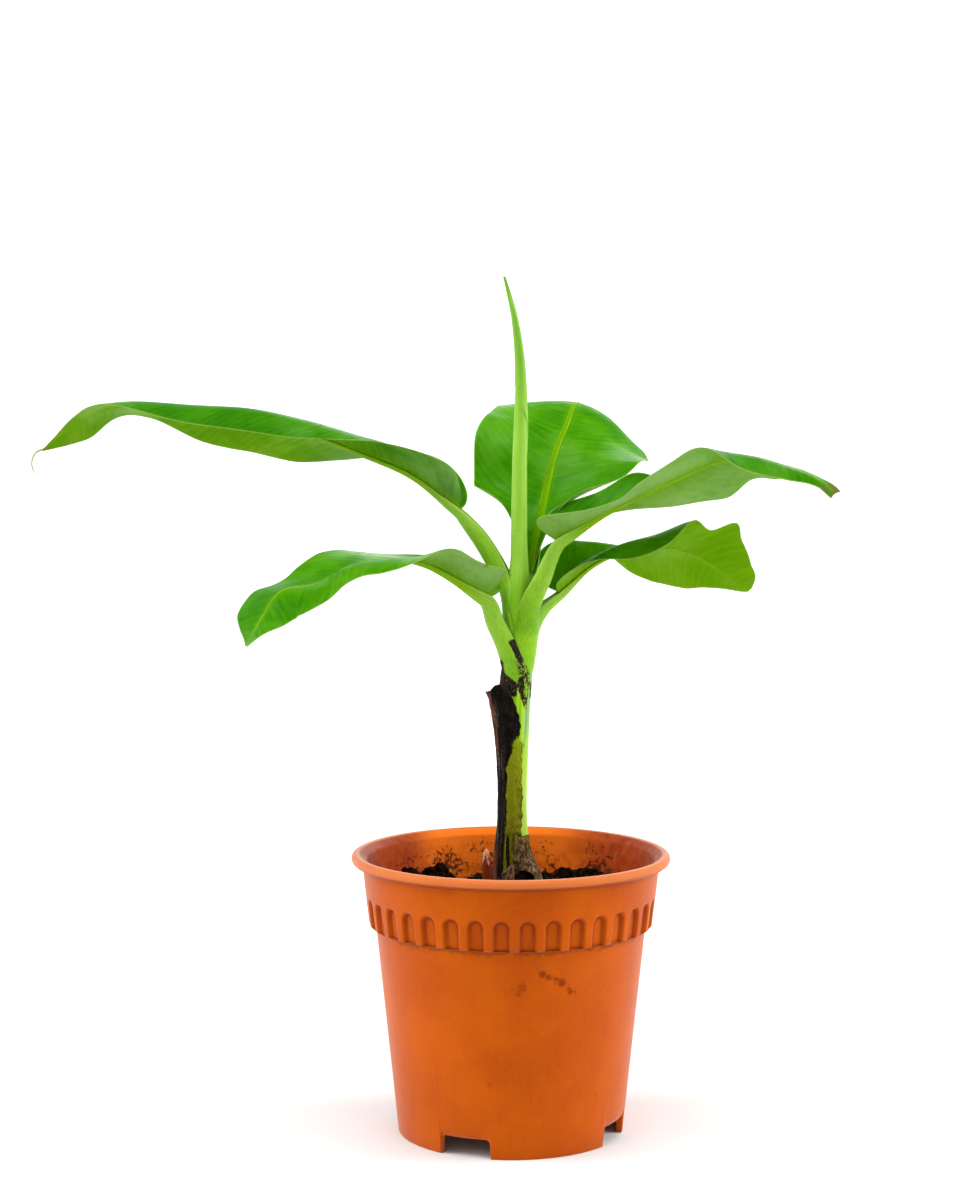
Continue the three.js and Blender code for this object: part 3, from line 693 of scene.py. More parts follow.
def soil_height(x, y):
    r = np.hypot(x, y)
    t = np.clip((r - STEM_MOUND) / 30, 0, 1)
    height = SOIL_LEVEL + (SOIL_AT_STEM - SOIL_LEVEL) * (1 - t * t * (3 - 2 * t))
    for mx, my, size, high in MOUNDS:
        height = height + high * np.exp(-((x - mx) ** 2 + (y - my) ** 2) / size**2) * t

    def wave(k, a, p):
        return np.sin(k * (x * math.cos(a) + y * math.sin(a)) + p)

    bumps = sum(wave(k, a, p) / (1 + 12 * k) for k, a, p in waves)
    lumps = sum(wave(*clod) for clod in clods) / math.sqrt(len(clods))
    return height + 0.8 * bumps + 1.7 * lumps * np.clip((TOP_REACH - r) / 10, 0, 1) - 0.8


SECTORS = 300
soil_rings = []
radii = list(np.linspace(2.0, TOP_REACH, 72)) + [85.2]
angles = np.linspace(0, math.tau, SECTORS, endpoint=False)
for r in radii:
    x, y = r * np.cos(angles), r * np.sin(angles)
    soil_rings.append(np.stack([x, y, soil_height(x, y)], -1))
# Below its top the soil follows the inside of the wall: the collar's step, the taper and the floor.
AGAINST_WALL = [
    (84.9, 134.3), (81.9, 129.0), (FOOT_RADIUS - 1.4, FLOOR_TOP + 2.2), (FOOT_INNER, FLOOR_TOP + 0.4),
]
for r, z in AGAINST_WALL:
    soil_rings.append(np.stack([r * np.cos(angles), r * np.sin(angles), np.full(SECTORS, z)], -1))
soil_points = metres(np.concatenate(soil_rings))
soil_faces = grid_faces(len(soil_rings), SECTORS, closed=True)
soil_faces = [tuple(reversed(f)) for f in soil_faces]
soil_faces.append(tuple(range(SECTORS)))
soil_faces.append(tuple(reversed(range((len(soil_rings) - 1) * SECTORS, len(soil_rings) * SECTORS))))
soil_mesh = mesh_of("soil_body", soil_points, soil_faces)
print("soil top from", round(soil_rings[0][:, 2].max(), 1), "to", round(soil_rings[-5][:, 2].min(), 1))


# %% Soil finish
def soil_finish(name, dark, light, pale):
    material, tree, place = new_finish(name)
    lumps = noise(tree, place, 240.0, 5.0, 0.65)
    base = tint(tree, remap(tree, lumps, 0.35, 0.7), dark, light)
    grain = noise(tree, place, 1100.0, 3.0, 0.7)
    base = tint(tree, remap(tree, grain, 0.62, 0.72, 0.0, 0.7), base, pale)
    relief = plus(tree, lumps, times(tree, grain, 0.5))
    rough = remap(tree, grain, 0.3, 0.7, 0.8, 1.0)
    close_finish(tree, base, rough, relief, bump_depth=0.0012, Specular_IOR_Level=0.02)
    return material


# %% Crumb tree
crumb_sizes = {
    "Crumbs": 8200.0,
    "Smallest": 0.12,
    "Largest": 1.6,
    "Crumb radius": 0.0019,
    "Reach": 0.0824,
    "Seed": 7,
    "Finish": None,
}


# The soil's top in square metres, the height that no crumb lies below, and how lumpy a crumb is.
TOP_AREA, LOWEST_CRUMB, LUMPY = 0.0255, 0.133, 0.0022


def crumb_tree():
    tree, given, end = shape_tree("soil_crumbs", crumb_sizes)
    normal = add(tree, "GeometryNodeInputNormal").outputs[0]
    up = add(tree, "ShaderNodeSeparateXYZ", Vector=normal).outputs[2]
    point = add(tree, "ShaderNodeSeparateXYZ", Vector=add(tree, "GeometryNodeInputPosition").outputs[0])
    aside = minus(tree, point.outputs[0], float(POT_AXIS[0]))
    behind = minus(tree, point.outputs[1], float(POT_AXIS[1]))
    square = plus(tree, times(tree, aside, aside), times(tree, behind, behind))
    near_axis = calc(tree, "LESS_THAN", calc(tree, "SQRT", square), given["Reach"])
    on_top = times(tree, calc(tree, "GREATER_THAN", up, 0.1), near_axis)
    on_top = times(tree, on_top, calc(tree, "GREATER_THAN", point.outputs[2], LOWEST_CRUMB))
    density = calc(tree, "DIVIDE", given["Crumbs"], TOP_AREA)
    scattered = add(
        tree, "GeometryNodeDistributePointsOnFaces", Mesh=given["Geometry"], Selection=on_top,
        Density=density, Seed=given["Seed"],
    )
    ball = add(tree, "GeometryNodeMeshIcoSphere", Radius=given["Crumb radius"], Subdivisions=1).outputs[0]
    lump = add(tree, "ShaderNodeTexNoise", Scale=900.0, Detail=1.0)
    put(tree, lump.inputs["Vector"], add(tree, "GeometryNodeInputPosition").outputs[0])
    push = add(tree, "ShaderNodeVectorMath", {"operation": "SUBTRACT"})
    put(tree, push.inputs[0], lump.outputs[1])
    push.inputs[1].default_value = (0.5, 0.5, 0.5)
    scale = add(tree, "ShaderNodeVectorMath", {"operation": "SCALE"})
    put(tree, scale.inputs[0], push.outputs[0])
    put(tree, scale.inputs["Scale"], LUMPY)
    ball = add(tree, "GeometryNodeSetPosition", Geometry=ball, Offset=scale.outputs[0]).outputs[0]
    dice = add(tree, "FunctionNodeRandomValue", {"data_type": "FLOAT"})
    put(tree, dice.inputs["Seed"], given["Seed"])
    few_large = calc(tree, "POWER", dice.outputs[1], 1.9)
    size = remap(tree, few_large, 0.0, 1.0, given["Smallest"], given["Largest"], smooth=False)
    turn = add(tree, "FunctionNodeRandomValue", {"data_type": "FLOAT_VECTOR"})
    turn.inputs[1].default_value = (6.28, 6.28, 6.28)
    put(tree, turn.inputs["Seed"], given["Seed"])
    crumbs = add(tree, "GeometryNodeInstanceOnPoints", Points=scattered.outputs[0], Instance=ball)
    put(tree, crumbs.inputs["Rotation"], turn.outputs[0])
    put(tree, crumbs.inputs["Scale"], size)
    finish_tree(tree, crumbs.outputs[0], given["Finish"], end)
    return tree


CRUMB_TREE = crumb_tree()
print("crumb tree nodes", len(CRUMB_TREE.nodes))

# %% Make the soil
soil_piece = link("soil_heap", soil_mesh.copy())
dark_soil = soil_finish("dark_soil", colour(10, 5, 2), colour(34, 19, 9), colour(96, 62, 34))
soil_piece.data.materials.append(dark_soil)
crumb_browns = (colour(8, 4, 1), colour(44, 25, 12), colour(138, 98, 62))
crumb_sizes["Finish"] = soil_finish("soil_crumb", *crumb_browns)
crumbs_piece = run_tree("soil_crumbs", CRUMB_TREE, crumb_sizes, soil_mesh)
ride_as(soil_piece, "soil", "soil")
ride_as(crumbs_piece, "soil", "soil")

# %% [markdown]
# A banana leaf is one rule with a few sizes. The midrib follows a path. Across it each half of the
# blade leaves the rib at one angle and ends at another, and bends evenly between them, so that every
# section is two arcs. Widths and angles are given at a few stations and run smoothly between them.
# The base is rounded, and a lobe of each half runs back past the stalk. These are the same sizes that
# the CAD solids are made from, so the thin blades here lie inside the solid ones.

# %% Leaf sizes
# What the numbers of a station are: where it is as a share of the length, two widths and four angles.
STATION = ["at", "left_width", "right_width", "left_from", "left_to", "right_from", "right_to"]
ROUNDED_BASE = 0.14
LEAVES = {
    "upper_left": {
        "heading": 172,
        "lobes": (-10, 9),
        "lean": 0.2,
        "way": [
            (-32.5, 4.5, 390.5), (-60.5, 8.5, 412), (-93, 13.5, 425.5), (-126, 18, 438),
            (-164, 23.5, 449), (-205.5, 29, 453.5), (-246.5, 35, 454.5), (-274.5, 39, 446),
            (-298.5, 42, 427.5),
        ],
        "stations": [
            (0.0, 26, 25, 56, 143, 0, 92),
            (0.08, 33, 30, 34, 42, 8, 65),
            (0.2, 38, 37, 56, -19, -1, 4),
            (0.33, 44, 43, 56, -62, -17, -36),
            (0.46, 44, 43, 44, -70, -12, -59),
            (0.6, 40, 40, 27, -50, -4, -63),
            (0.74, 32, 35, 24, -25, 0, -24),
            (0.82, 21, 26, 16, 2, -9, -14),
            (0.9, 8, 18, 10, 19, -30, -44),
            (1.0, 0, 1, 8, 14, -43, -51),
        ],
    },
    "lower_left": {
        "heading": 205,
        "lobes": (1.5, 18),
        "curl": (21, 18),
        "lean": 0.2,
        "way": [
            (-14.5, -8, 336), (-35, -17, 349.5), (-54, -26, 359), (-74, -35.5, 362.5), (-96, -46, 359.5),
            (-116.5, -55.5, 349), (-138.5, -65.5, 344.5), (-149, -71, 329.5), (-158, -75.5, 313),
        ],
        "stations": [
            (0.0, 21, 30, 37, 108, 57, 139),
            (0.1, 24, 29, 20, 40, 36, 48),
            (0.2, 29, 32, 54, 2, 7, 16),
            (0.33, 35, 35, 17, -16, 4, 0),
            (0.46, 34, 37, 10, -26, 7, 12),
            (0.6, 29, 35, 26, -34, 11, 14),
            (0.74, 29, 32, -11, -47, 0, -3),
            (0.86, 21, 28, -14, -37, 14, 9),
            (0.94, 13, 14, 2, -8, 21, 19),
            (1.0, 3, 2, 3, 3, 0, 0),
        ],
    },
    "upper_right": {
        "heading": -22,
        "lobes": (14, 16.5),
        "lean": 0.2,
        "way": [
            (29.5, -13, 372), (55, -22, 389), (79.5, -31, 401.5), (103, -40.5, 413), (124, -49, 422),
            (146, -59, 423.5), (169, -68, 417.5), (183.5, -74, 410), (190.5, -77.5, 403.5),
        ],
        "stations": [
            (0.0, 29, 27, 55, 112, 47, 110),
            (0.12, 36, 33, 11, 53, 7, 19),
            (0.24, 47, 35, -34, 86, -2, 2),
            (0.36, 45, 37, -58, 35, 3, 8),
            (0.48, 42, 41, -41, -16, 14, 3),
            (0.6, 39, 44, -14, -26, 24, -6),
            (0.72, 32, 30, -8, -36, 24, -53),
            (0.84, 21, 19, 5, -22, 12, -51),
            (0.93, 9, 8, 13, -8, 1, -50),
            (1.0, 4, 5, 26, 32, -32, -54),
        ],
    },
    "lower_right": {
        "heading": 18,
        "lobes": (12.5, 8),
        "lean": 0.1,
        "way": [
            (31, 10, 338.5), (49.5, 15.5, 354.5), (69, 22, 363), (89, 28.5, 365.5), (108, 35, 364),
            (128, 41.5, 354.5), (142.5, 45.5, 343.5), (153.5, 48.5, 337),
        ],
        "stations": [
            (0.0, 26, 21, 43, 79, 47, 41),
            (0.12, 35, 28, 43, 34, 46, 2),
            (0.27, 40, 34, 42, -26, 53, -57),
            (0.42, 43, 41, 11, -54, 47, -34),
            (0.55, 42, 37, -12, -54, 56, 7),
            (0.66, 38, 23, -22, -49, 63, 36),
            (0.73, 33, 34, -28, -47, 53, 61),
            (0.79, 27, 27, -32, -46, 48, 54),
            (0.85, 19, 22, -30, -42, 48, 53),
            (0.91, 11, 17, -27, -37, 51, 58),
            (0.95, 7, 14, -28, -35, 53, 62),
            (0.98, 4, 10, -30, -33, 54, 63),
            (1.0, 1, 3, -31, -31, 49, 56),
        ],
    },
    "back": {
        "heading": 75,
        "lobes": (0, 0),
        "lean": 0.2,
        "way": [
            (12.5, 10, 351), (17.5, 26, 375.5), (23.5, 46, 404.5), (29.5, 60, 426), (37.5, 80, 444.5),
            (44, 108, 458), (49, 138, 452), (55, 160, 433.5), (58, 172, 413.5),
        ],
        "stations": [
            (0.0, 12, 12, 52, 94, 48, 82),
            (0.12, 31, 31, 43, 66, 46, 61),
            (0.25, 50, 46, -6, 0, 6, 4),
            (0.38, 56, 55, 6, 1, -10, -20),
            (0.5, 55, 60, 4, -3, -26, -46),
            (0.62, 51, 54, 6, -12, -16, -68),
            (0.75, 43, 46, 7, -19, -9, -57),
            (0.88, 30, 31, 3, -17, -8, -37),
            (0.96, 17, 18, 1, -15, -5, -26),
            (1.0, 3, 3, 0, -15, 0, -18),
        ],
    },
}
print("leaves", list(LEAVES))


# %% Smooth values, ways and section axes
def smooth(stations, values, at):
    """A smooth curve through rows of values at the stations, read at each place in `at`."""
    stations, values = np.asarray(stations, float), np.asarray(values, float)
    at = np.atleast_1d(at)
    slope = np.empty_like(values)
    slope[1:-1] = (values[2:] - values[:-2]) / (stations[2:] - stations[:-2])[:, None]
    slope[0] = (values[1] - values[0]) / (stations[1] - stations[0])
    slope[-1] = (values[-1] - values[-2]) / (stations[-1] - stations[-2])
    i = np.clip(np.searchsorted(stations, at, side="right") - 1, 0, len(stations) - 2)
    span = (stations[i + 1] - stations[i])[:, None]
    t = ((at - stations[i])[:, None]) / span
    return (
        (2 * t**3 - 3 * t**2 + 1) * values[i]
        + (t**3 - 2 * t**2 + t) * span * slope[i]
        + (3 * t**2 - 2 * t**3) * values[i + 1]
        + (t**3 - t**2) * span * slope[i + 1]
    )


def unit(vectors):
    return vectors / np.linalg.norm(vectors, axis=-1, keepdims=True)


class Way:
    """The way through a few points, read by the share s of its length."""

    def __init__(self, points, fine=400):
        points = np.asarray(points, float)
        chords = np.concatenate([[0], np.cumsum(np.linalg.norm(np.diff(points, axis=0), axis=1))])
        self.fine = smooth(chords, points, np.linspace(0, chords[-1], fine))
        steps = np.linalg.norm(np.diff(self.fine, axis=0), axis=1)
        self.run = np.concatenate([[0], np.cumsum(steps)])
        self.length = self.run[-1]
        self.shares = np.interp(chords, np.linspace(0, chords[-1], fine), self.run) / self.length

    def at(self, s):
        reach = np.clip(np.atleast_1d(s), 0, 1) * self.length
        return np.stack([np.interp(reach, self.run, self.fine[:, k]) for k in range(3)], -1)

    def axes(self, s, heading):
        """T along the way, S level to its left and U out of the upper face."""
        s = np.atleast_1d(s)
        T = unit(self.at(s + 0.012) - self.at(s - 0.012))
        a = math.radians(heading)
        left = np.cross([0, 0, 1], [math.cos(a), math.sin(a), 0])
        S = unit(left - (T @ left)[:, None] * T)
        return T, S, np.cross(T, S)


for name, leaf in LEAVES.items():
    leaf["line"] = Way(leaf["way"])
    print(name, "blade length", round(leaf["line"].length), "mm")

# %% [markdown]
# Every thin part of the plant is a sheet: a leaf blade, a dead sheath, the husk. Python lays out the
# sheet's middle points by its rule, with named attributes for what its finish needs to know, and one
# Geometry Nodes tree grows it: it ripples the sheet a little, more towards the margins, then gives it
# its thickness, thinner at the margins, and closes it. Solidify would do too, but it can't mark which
# side is the upper one, and a leaf's two faces have different colours.

# %% Sheet tree
sheet_sizes = {
    "Thickness": 0.0005,
    "Margin thickness": 0.0003,
    "Ripple": 0.0006,
    "Ripple scale": 28.0,
    "Ripple seed": 0.0,
    "Margin zone": 0.012,
    "Finish": None,
}


def sheet_tree():
    tree, given, end = shape_tree("grown_sheet", sheet_sizes)
    along, out, edge = [named(tree, label) for label in ("along", "out", "edge")]
    flat = add(tree, "ShaderNodeCombineXYZ", X=along, Y=out, Z=given["Ripple seed"]).outputs[0]
    wave = add(tree, "ShaderNodeTexNoise", Vector=flat, Scale=given["Ripple scale"], Detail=1.5)
    swing = minus(tree, wave.outputs[0], 0.5)
    outer = remap(tree, edge, given["Margin zone"], 0.0, 0.12, 1.0)
    height = times(tree, swing, outer, times(tree, given["Ripple"], 4.0))
    normal = add(tree, "GeometryNodeInputNormal").outputs[0]
    offset = add(tree, "ShaderNodeVectorMath", {"operation": "SCALE"})
    put(tree, offset.inputs[0], normal)
    put(tree, offset.inputs["Scale"], height)
    rippled = add(tree, "GeometryNodeSetPosition", Geometry=given["Geometry"], Offset=offset.outputs[0])
    upper = marked(tree, rippled.outputs[0], "upper", 1.0)
    lower_skin = marked(tree, rippled.outputs[0], "upper", 0.0)
    turned = add(tree, "GeometryNodeFlipFaces", Mesh=lower_skin).outputs[0]
    thick = remap(tree, edge, 0.0, 0.004, given["Margin thickness"], given["Thickness"])
    lower = add(tree, "GeometryNodeExtrudeMesh", {"mode": "FACES"}, Mesh=turned, Offset_Scale=thick)
    lower.inputs["Individual"].default_value = False
    both = tree.nodes.new("GeometryNodeJoinGeometry")
    tree.links.new(lower.outputs[0], both.inputs[0])
    tree.links.new(upper, both.inputs[0])
    closed = add(tree, "GeometryNodeMergeByDistance", Geometry=both.outputs[0], Distance=0.000001)
    soft = add(tree, "GeometryNodeSetShadeSmooth", Geometry=closed.outputs[0], Shade_Smooth=True)
    finish_tree(tree, soft.outputs[0], given["Finish"], end)
    return tree


SHEET_TREE = sheet_tree()
print("sheet tree nodes", len(SHEET_TREE.nodes))


def grow_sheet(name, points_mm, marks, **sizes):
    """A sheet from a grid of points (rows, columns, 3) and named values on the same grid."""
    rows, columns = points_mm.shape[:2]
    mesh = mesh_of(name + "_sheet", metres(points_mm.reshape(-1, 3)), grid_faces(rows, columns))
    mark_points(mesh, marks)
    wanted = {**sheet_sizes, **{k.replace("_", " ").capitalize(): v for k, v in sizes.items()}}
    return run_tree(name, SHEET_TREE, wanted, mesh)


# %% Leaf blade points
ROWS = 200
# The midrib is a groove on the upper face, this deep as a share of the rib's half width.
GROOVE = 0.42
RIB_THREAD = 0.35
ACROSS = np.concatenate([
    [0.018, 0.036, 0.056, 0.078, 0.102, 0.13],
    np.linspace(0.17, 0.92, 16),
    [0.95, 0.972, 0.988, 1.0],
])


def rib_radius(leaf, s):
    """Half width of the midrib: stout at the stalk and a thread at the tip."""
    foot, blade = leaf["rib"]
    slim = blade * (1 - s) ** 0.9 + RIB_THREAD
    return slim + (foot - blade - RIB_THREAD) * np.exp(-((s / 0.16) ** 1.3))


def blade_half(leaf, s, size, rib, which):
    """One half of the blade: its reach aside, rise and run back, and how far rib and margin are."""
    lobe = leaf["lobes"][0 if which == "left" else 1]
    rounding = np.sqrt(1 - (1 - np.clip(s / ROUNDED_BASE, 0, 1)) ** 2)
    near = np.exp(-((s / (0.8 * ROUNDED_BASE)) ** 2))
    width = (np.maximum(size[which + "_width"], 0.7) * rounding)[:, None]
    start = np.radians(size[which + "_from"])[:, None]
    bend = np.radians(size[which + "_to"])[:, None] - start
    bend = np.where(abs(bend) < 1e-4, 1e-4, bend)
    reach = width * (np.sin(start + bend * ACROSS) - np.sin(start)) / bend
    rise = -width * (np.cos(start + bend * ACROSS) - np.cos(start)) / bend
    back = -lobe * (near * rounding)[:, None] * ACROSS**1.3
    back = back + leaf["lean"] * width * (1 - near)[:, None] * ACROSS**2
    if which == "left" and "curl" in leaf:
        tip = (np.exp(-((s / 0.085) ** 2)) * rounding**3)[:, None] * ACROSS**4
        back, rise = back - leaf["curl"][0] * tip, rise + leaf["curl"][1] * tip
    distance = width * ACROSS
    groove = GROOVE * rib[:, None] * np.clip(1 - (distance / rib[:, None]) ** 2, 0, 1)
    return reach, rise - groove, back, distance, width - distance


def blade_marks(leaf, along, out, edge, ribs):
    """The named values that the leaf finish reads, each on the blade's own grid."""
    dry = np.clip((along / leaf["line"].length - leaf["dry_from"]) / 0.05, 0, 1)
    in_mm = {"along": along, "out": out, "edge": edge, "rib": ribs}
    values = {label: grid * 0.001 for label, grid in in_mm.items()}
    values["dead"] = dry
    tone, bloom_reach, top_shade_foot, top_shade_tip, dim = leaf["looks"]
    values["tone"] = tone + 0 * dry
    # The deep value is painted shade on the upper face, and dim is painted shade on the lower face near
    # the stalk.
    values["deep"] = top_shade_foot + (top_shade_tip - top_shade_foot) * np.clip((along - 50) / 80, 0, 1)
    values["bloom"] = np.clip((bloom_reach - along) / (0.65 * bloom_reach), 0, 1)
    values["dim"] = dim * np.clip((110 - along) / 60, 0, 1)
    return values


def blade_points(leaf):
    """The blade's grid of points, row by row from the left margin to the right one, and its marks."""
    s = 0.003 + 0.997 * np.linspace(0, 1, ROWS) ** 1.15
    table = np.array(leaf["stations"], float)
    size = dict(zip(STATION[1:], smooth(table[:, 0], table[:, 1:], s).T))
    T, S, U = leaf["line"].axes(s, leaf["heading"])
    middle, rib = leaf["line"].at(s), rib_radius(leaf, s)
    halves, outs, edges = [], [], []
    for side, which in ((1, "left"), (-1, "right")):
        reach, rise, back, distance, to_edge = blade_half(leaf, s, size, rib, which)
        half = middle[:, None] + side * S[:, None] * reach[..., None]
        half = half + U[:, None] * rise[..., None] + T[:, None] * back[..., None]
        halves.append(half)
        outs.append(side * distance)
        edges.append(to_edge)
    centre = middle - U * (GROOVE * rib)[:, None]
    points = np.concatenate([halves[0][:, ::-1], centre[:, None], halves[1]], axis=1)
    out = np.concatenate([outs[0][:, ::-1], np.zeros((ROWS, 1)), outs[1]], axis=1)
    middle_edge = np.minimum(edges[0][:, :1], edges[1][:, :1])
    edge = np.concatenate([edges[0][:, ::-1], middle_edge, edges[1]], axis=1)
    along = np.repeat((s * leaf["line"].length)[:, None], out.shape[1], axis=1)
    ribs = np.repeat(rib[:, None], out.shape[1], axis=1)
    return points, blade_marks(leaf, along, out, edge, ribs)


RIBS = {
    "upper_left": (4.6, 2.0), "lower_left": (6.2, 1.9), "upper_right": (5.2, 2.2),
    "lower_right": (4.0, 1.6), "back": (4.2, 2.3),
}
# How yellow a lower face is, how many millimetres its bloom reaches, how much painted shade darkens the
# upper face near the stalk and near the tip, and how much painted shade darkens the lower face near the
# stalk.
LOOKS = {
    "upper_left": (0.2, 36, 0.8, 0.7, 0.9),
    "lower_left": (0.0, 150, 0.1, 0.5, 0.0),
    "upper_right": (0.1, 190, 0.8, 0.7, 0.0),
    "lower_right": (1.0, 30, 0.5, 0.4, 0.0),
    "back": (0.5, 60, 0.8, 0.1, 0.3),
}
DRY_TIPS = {"upper_left": 0.975, "upper_right": 0.93}
for name, leaf in LEAVES.items():
    leaf["rib"] = RIBS[name]
    leaf["dry_from"] = DRY_TIPS.get(name, 2.0)
    leaf["looks"] = LOOKS[name]
print("blade grid", ROWS, "by", 2 * len(ACROSS) + 1)

# %% [markdown]
# A banana leaf's upper face is a deep, bright green with a soft wax gloss, and the lower face is paler
# and greyer. Fine side veins leave the midrib almost at a right angle and run side by side to the
# margin, which is a pale thread. All of that follows the blade, so the finish reads the distance
# along and out from the rib that the mesh carries, not its place in the room. Some light comes
# through: a translucent shader is mixed in for that.

# %% Leaf finish
BROAD_VEIN, FINE_VEIN = 0.0062, 0.0014


def leaf_finish():
    material, tree, place = new_finish("banana_leaf")
    along, out, edge = attribute(tree, "along"), attribute(tree, "out"), attribute(tree, "edge")
    upper, rib = attribute(tree, "upper"), attribute(tree, "rib")
    aside = calc(tree, "ABSOLUTE", out)
    slant = minus(tree, along, times(tree, aside, 0.3))
    slant = minus(tree, slant, times(tree, aside, aside, 5.0))

    def veins(spacing, sharp):
        wave = calc(tree, "SINE", times(tree, slant, math.pi / spacing))
        return calc(tree, "POWER", calc(tree, "ABSOLUTE", wave), sharp)

    flat = add(tree, "ShaderNodeCombineXYZ", X=slant, Y=times(tree, out, 0.12)).outputs[0]
    bands = noise(tree, flat, 420.0, 4.0, 0.6)
    cloud = noise(tree, place, 26.0, 3.0)
    mottle = noise(tree, place, 210.0, 3.0)
    mixed = plus(tree, times(tree, bands, 0.4), times(tree, cloud, 0.6))
    share = remap(tree, mixed, 0.36, 0.64)
    tone = attribute(tree, "tone")
    top = tint(tree, share, colour(44, 124, 0), colour(94, 164, 0))
    top_shade_green = tint(tree, share, colour(20, 96, 0), colour(52, 128, 0))
    # Painted shade: where the deep value is high the upper face takes a darker green.
    top = tint(tree, attribute(tree, "deep"), top, top_shade_green)
    under = tint(tree, share, colour(80, 136, 0), colour(122, 168, 22))
    yellow_green = tint(tree, share, colour(102, 158, 0), colour(128, 178, 4))
    under = tint(tree, tone, under, yellow_green)
    # Painted shade: the lower face is darker near the stalk.
    dim_green = tint(tree, share, colour(36, 100, 0), colour(84, 142, 0))
    under = tint(tree, attribute(tree, "dim"), under, dim_green)
    # Near the stalk the lower face has a whitish bloom, most towards the margin.
    bloom = times(tree, attribute(tree, "bloom"), remap(tree, aside, 0.003, 0.018, 0.35, 1.0))
    bloom = times(tree, bloom, remap(tree, mottle, 0.3, 0.6, 0.5, 0.85))
    bloom = times(tree, bloom, minus(tree, 1.0, tone))
    under = tint(tree, bloom, under, colour(148, 190, 110))
    broad = veins(BROAD_VEIN, 10.0)
    top = tint(tree, times(tree, broad, 0.1), top, colour(104, 186, 30))
    under = tint(tree, times(tree, broad, 0.14), under, colour(140, 188, 70))
    base = tint(tree, upper, under, top)
    base = tint(tree, remap(tree, mottle, 0.55, 0.75, 0.0, 0.15), base, colour(104, 166, 12))

    # Paler beside the rib, and the rib's own channel is a pale yellow green.
    by_rib = remap(tree, minus(tree, aside, rib), 0.004, 0.0, 0.0, 0.3)
    base = tint(tree, by_rib, base, colour(106, 172, 14))
    in_rib = remap(tree, calc(tree, "DIVIDE", aside, rib), 1.15, 0.8)
    base = tint(tree, times(tree, in_rib, 0.65), base, colour(138, 194, 8))
    thread = remap(tree, edge, 0.0008, 0.0003, 0.0, 0.6)
    base = tint(tree, thread, base, colour(168, 198, 96))
    at_margin, patches = remap(tree, edge, 0.003, 0.0), noise(tree, place, 95.0, 3.0)
    worn = times(tree, at_margin, remap(tree, patches, 0.62, 0.72), 0.8)
    base = tint(tree, worn, base, colour(118, 92, 44))
    dead = times(tree, attribute(tree, "dead"), remap(tree, mottle, 0.35, 0.6, 0.3, 1.0))
    base = tint(tree, times(tree, dead, 0.85), base, colour(112, 96, 50))

    fine = times(tree, veins(FINE_VEIN, 1.0), 0.15)
    relief = plus(tree, times(tree, veins(BROAD_VEIN, 3.0), 0.45), fine, times(tree, bands, 0.5))
    rough = remap(tree, upper, 0.0, 1.0, 0.42, 0.34)
    rough = plus(tree, rough, remap(tree, mottle, 0.3, 0.7, -0.04, 0.08))
    through = tint(tree, in_rib, colour(150, 200, 0), colour(150, 180, 60))
    waxy = remap(tree, cloud, 0.46, 0.62, 0.02, 0.12)
    waxy = times(tree, waxy, minus(tree, 1.0, times(tree, in_rib, 0.85)))
    close_finish(
        tree, base, rough, relief, bump_depth=0.00028, bump_strength=0.7, glow=(through, 0.3),
        Specular_IOR_Level=waxy,
    )
    return material


LEAF_FINISH = leaf_finish()
print("leaf finish nodes", len(LEAF_FINISH.node_tree.nodes))

# %% Make the blades
NODES_OF = {name: (f"blade_{name}_inner", f"blade_{name}_outer") for name in LEAVES}
for k, (name, leaf) in enumerate(LEAVES.items()):
    points, values = blade_points(leaf)
    piece = grow_sheet("leaf_" + name, points, values, ripple_seed=float(3 * k), finish=LEAF_FINISH)
    ride_as(piece, "leaf_green", *NODES_OF[name])

# %% [markdown]
# Under each blade runs a stout midrib, and it goes on as the leaf stalk and then as the sheath that
# wraps the false stem. On the real plant that is one gutter from base to tip: thick along its keel,
# thin at its two margins, wide open where it wraps the stem and shallow under the blade. So one rule
# makes all five: a crescent section is swept along the way, and its radius, its reach round to each
# side and its wall change at a few stations. A curve with a bevel could not open and close like this.

# %% Swept bodies
def loft(name, rings, marks=None, gutter=False):
    """A closed body through rings of points. A gutter's ends are capped across its wall only."""
    rows, columns = rings.shape[:2]
    points = rings.reshape(-1, 3)
    faces = grid_faces(rows, columns, closed=True)
    for first, turned in ((0, False), ((rows - 1) * columns, True)):
        if gutter:
            cap = []
            for k in range(columns // 2 - 1):
                cap.append((first + k, first + k + 1, first + columns - 2 - k, first + columns - 1 - k))
        else:
            cap = [tuple(range(first, first + columns))]
        faces += [f if turned else tuple(reversed(f)) for f in cap]
    mesh = mesh_of(name, metres(points), faces)
    corner = np.array([points[list(f[:3])] for f in faces])
    if np.einsum("ij,ij->i", np.cross(corner[:, 0], corner[:, 1]), corner[:, 2]).sum() < 0:
        mesh.flip_normals()
    mark_points(mesh, marks or {})
    print(name, "faces", len(mesh.polygons))
    return link(name, mesh)


def ease(low, high, value):
    t = np.clip((value - low) / (high - low), 0, 1)
    return t * t * (3 - 2 * t)


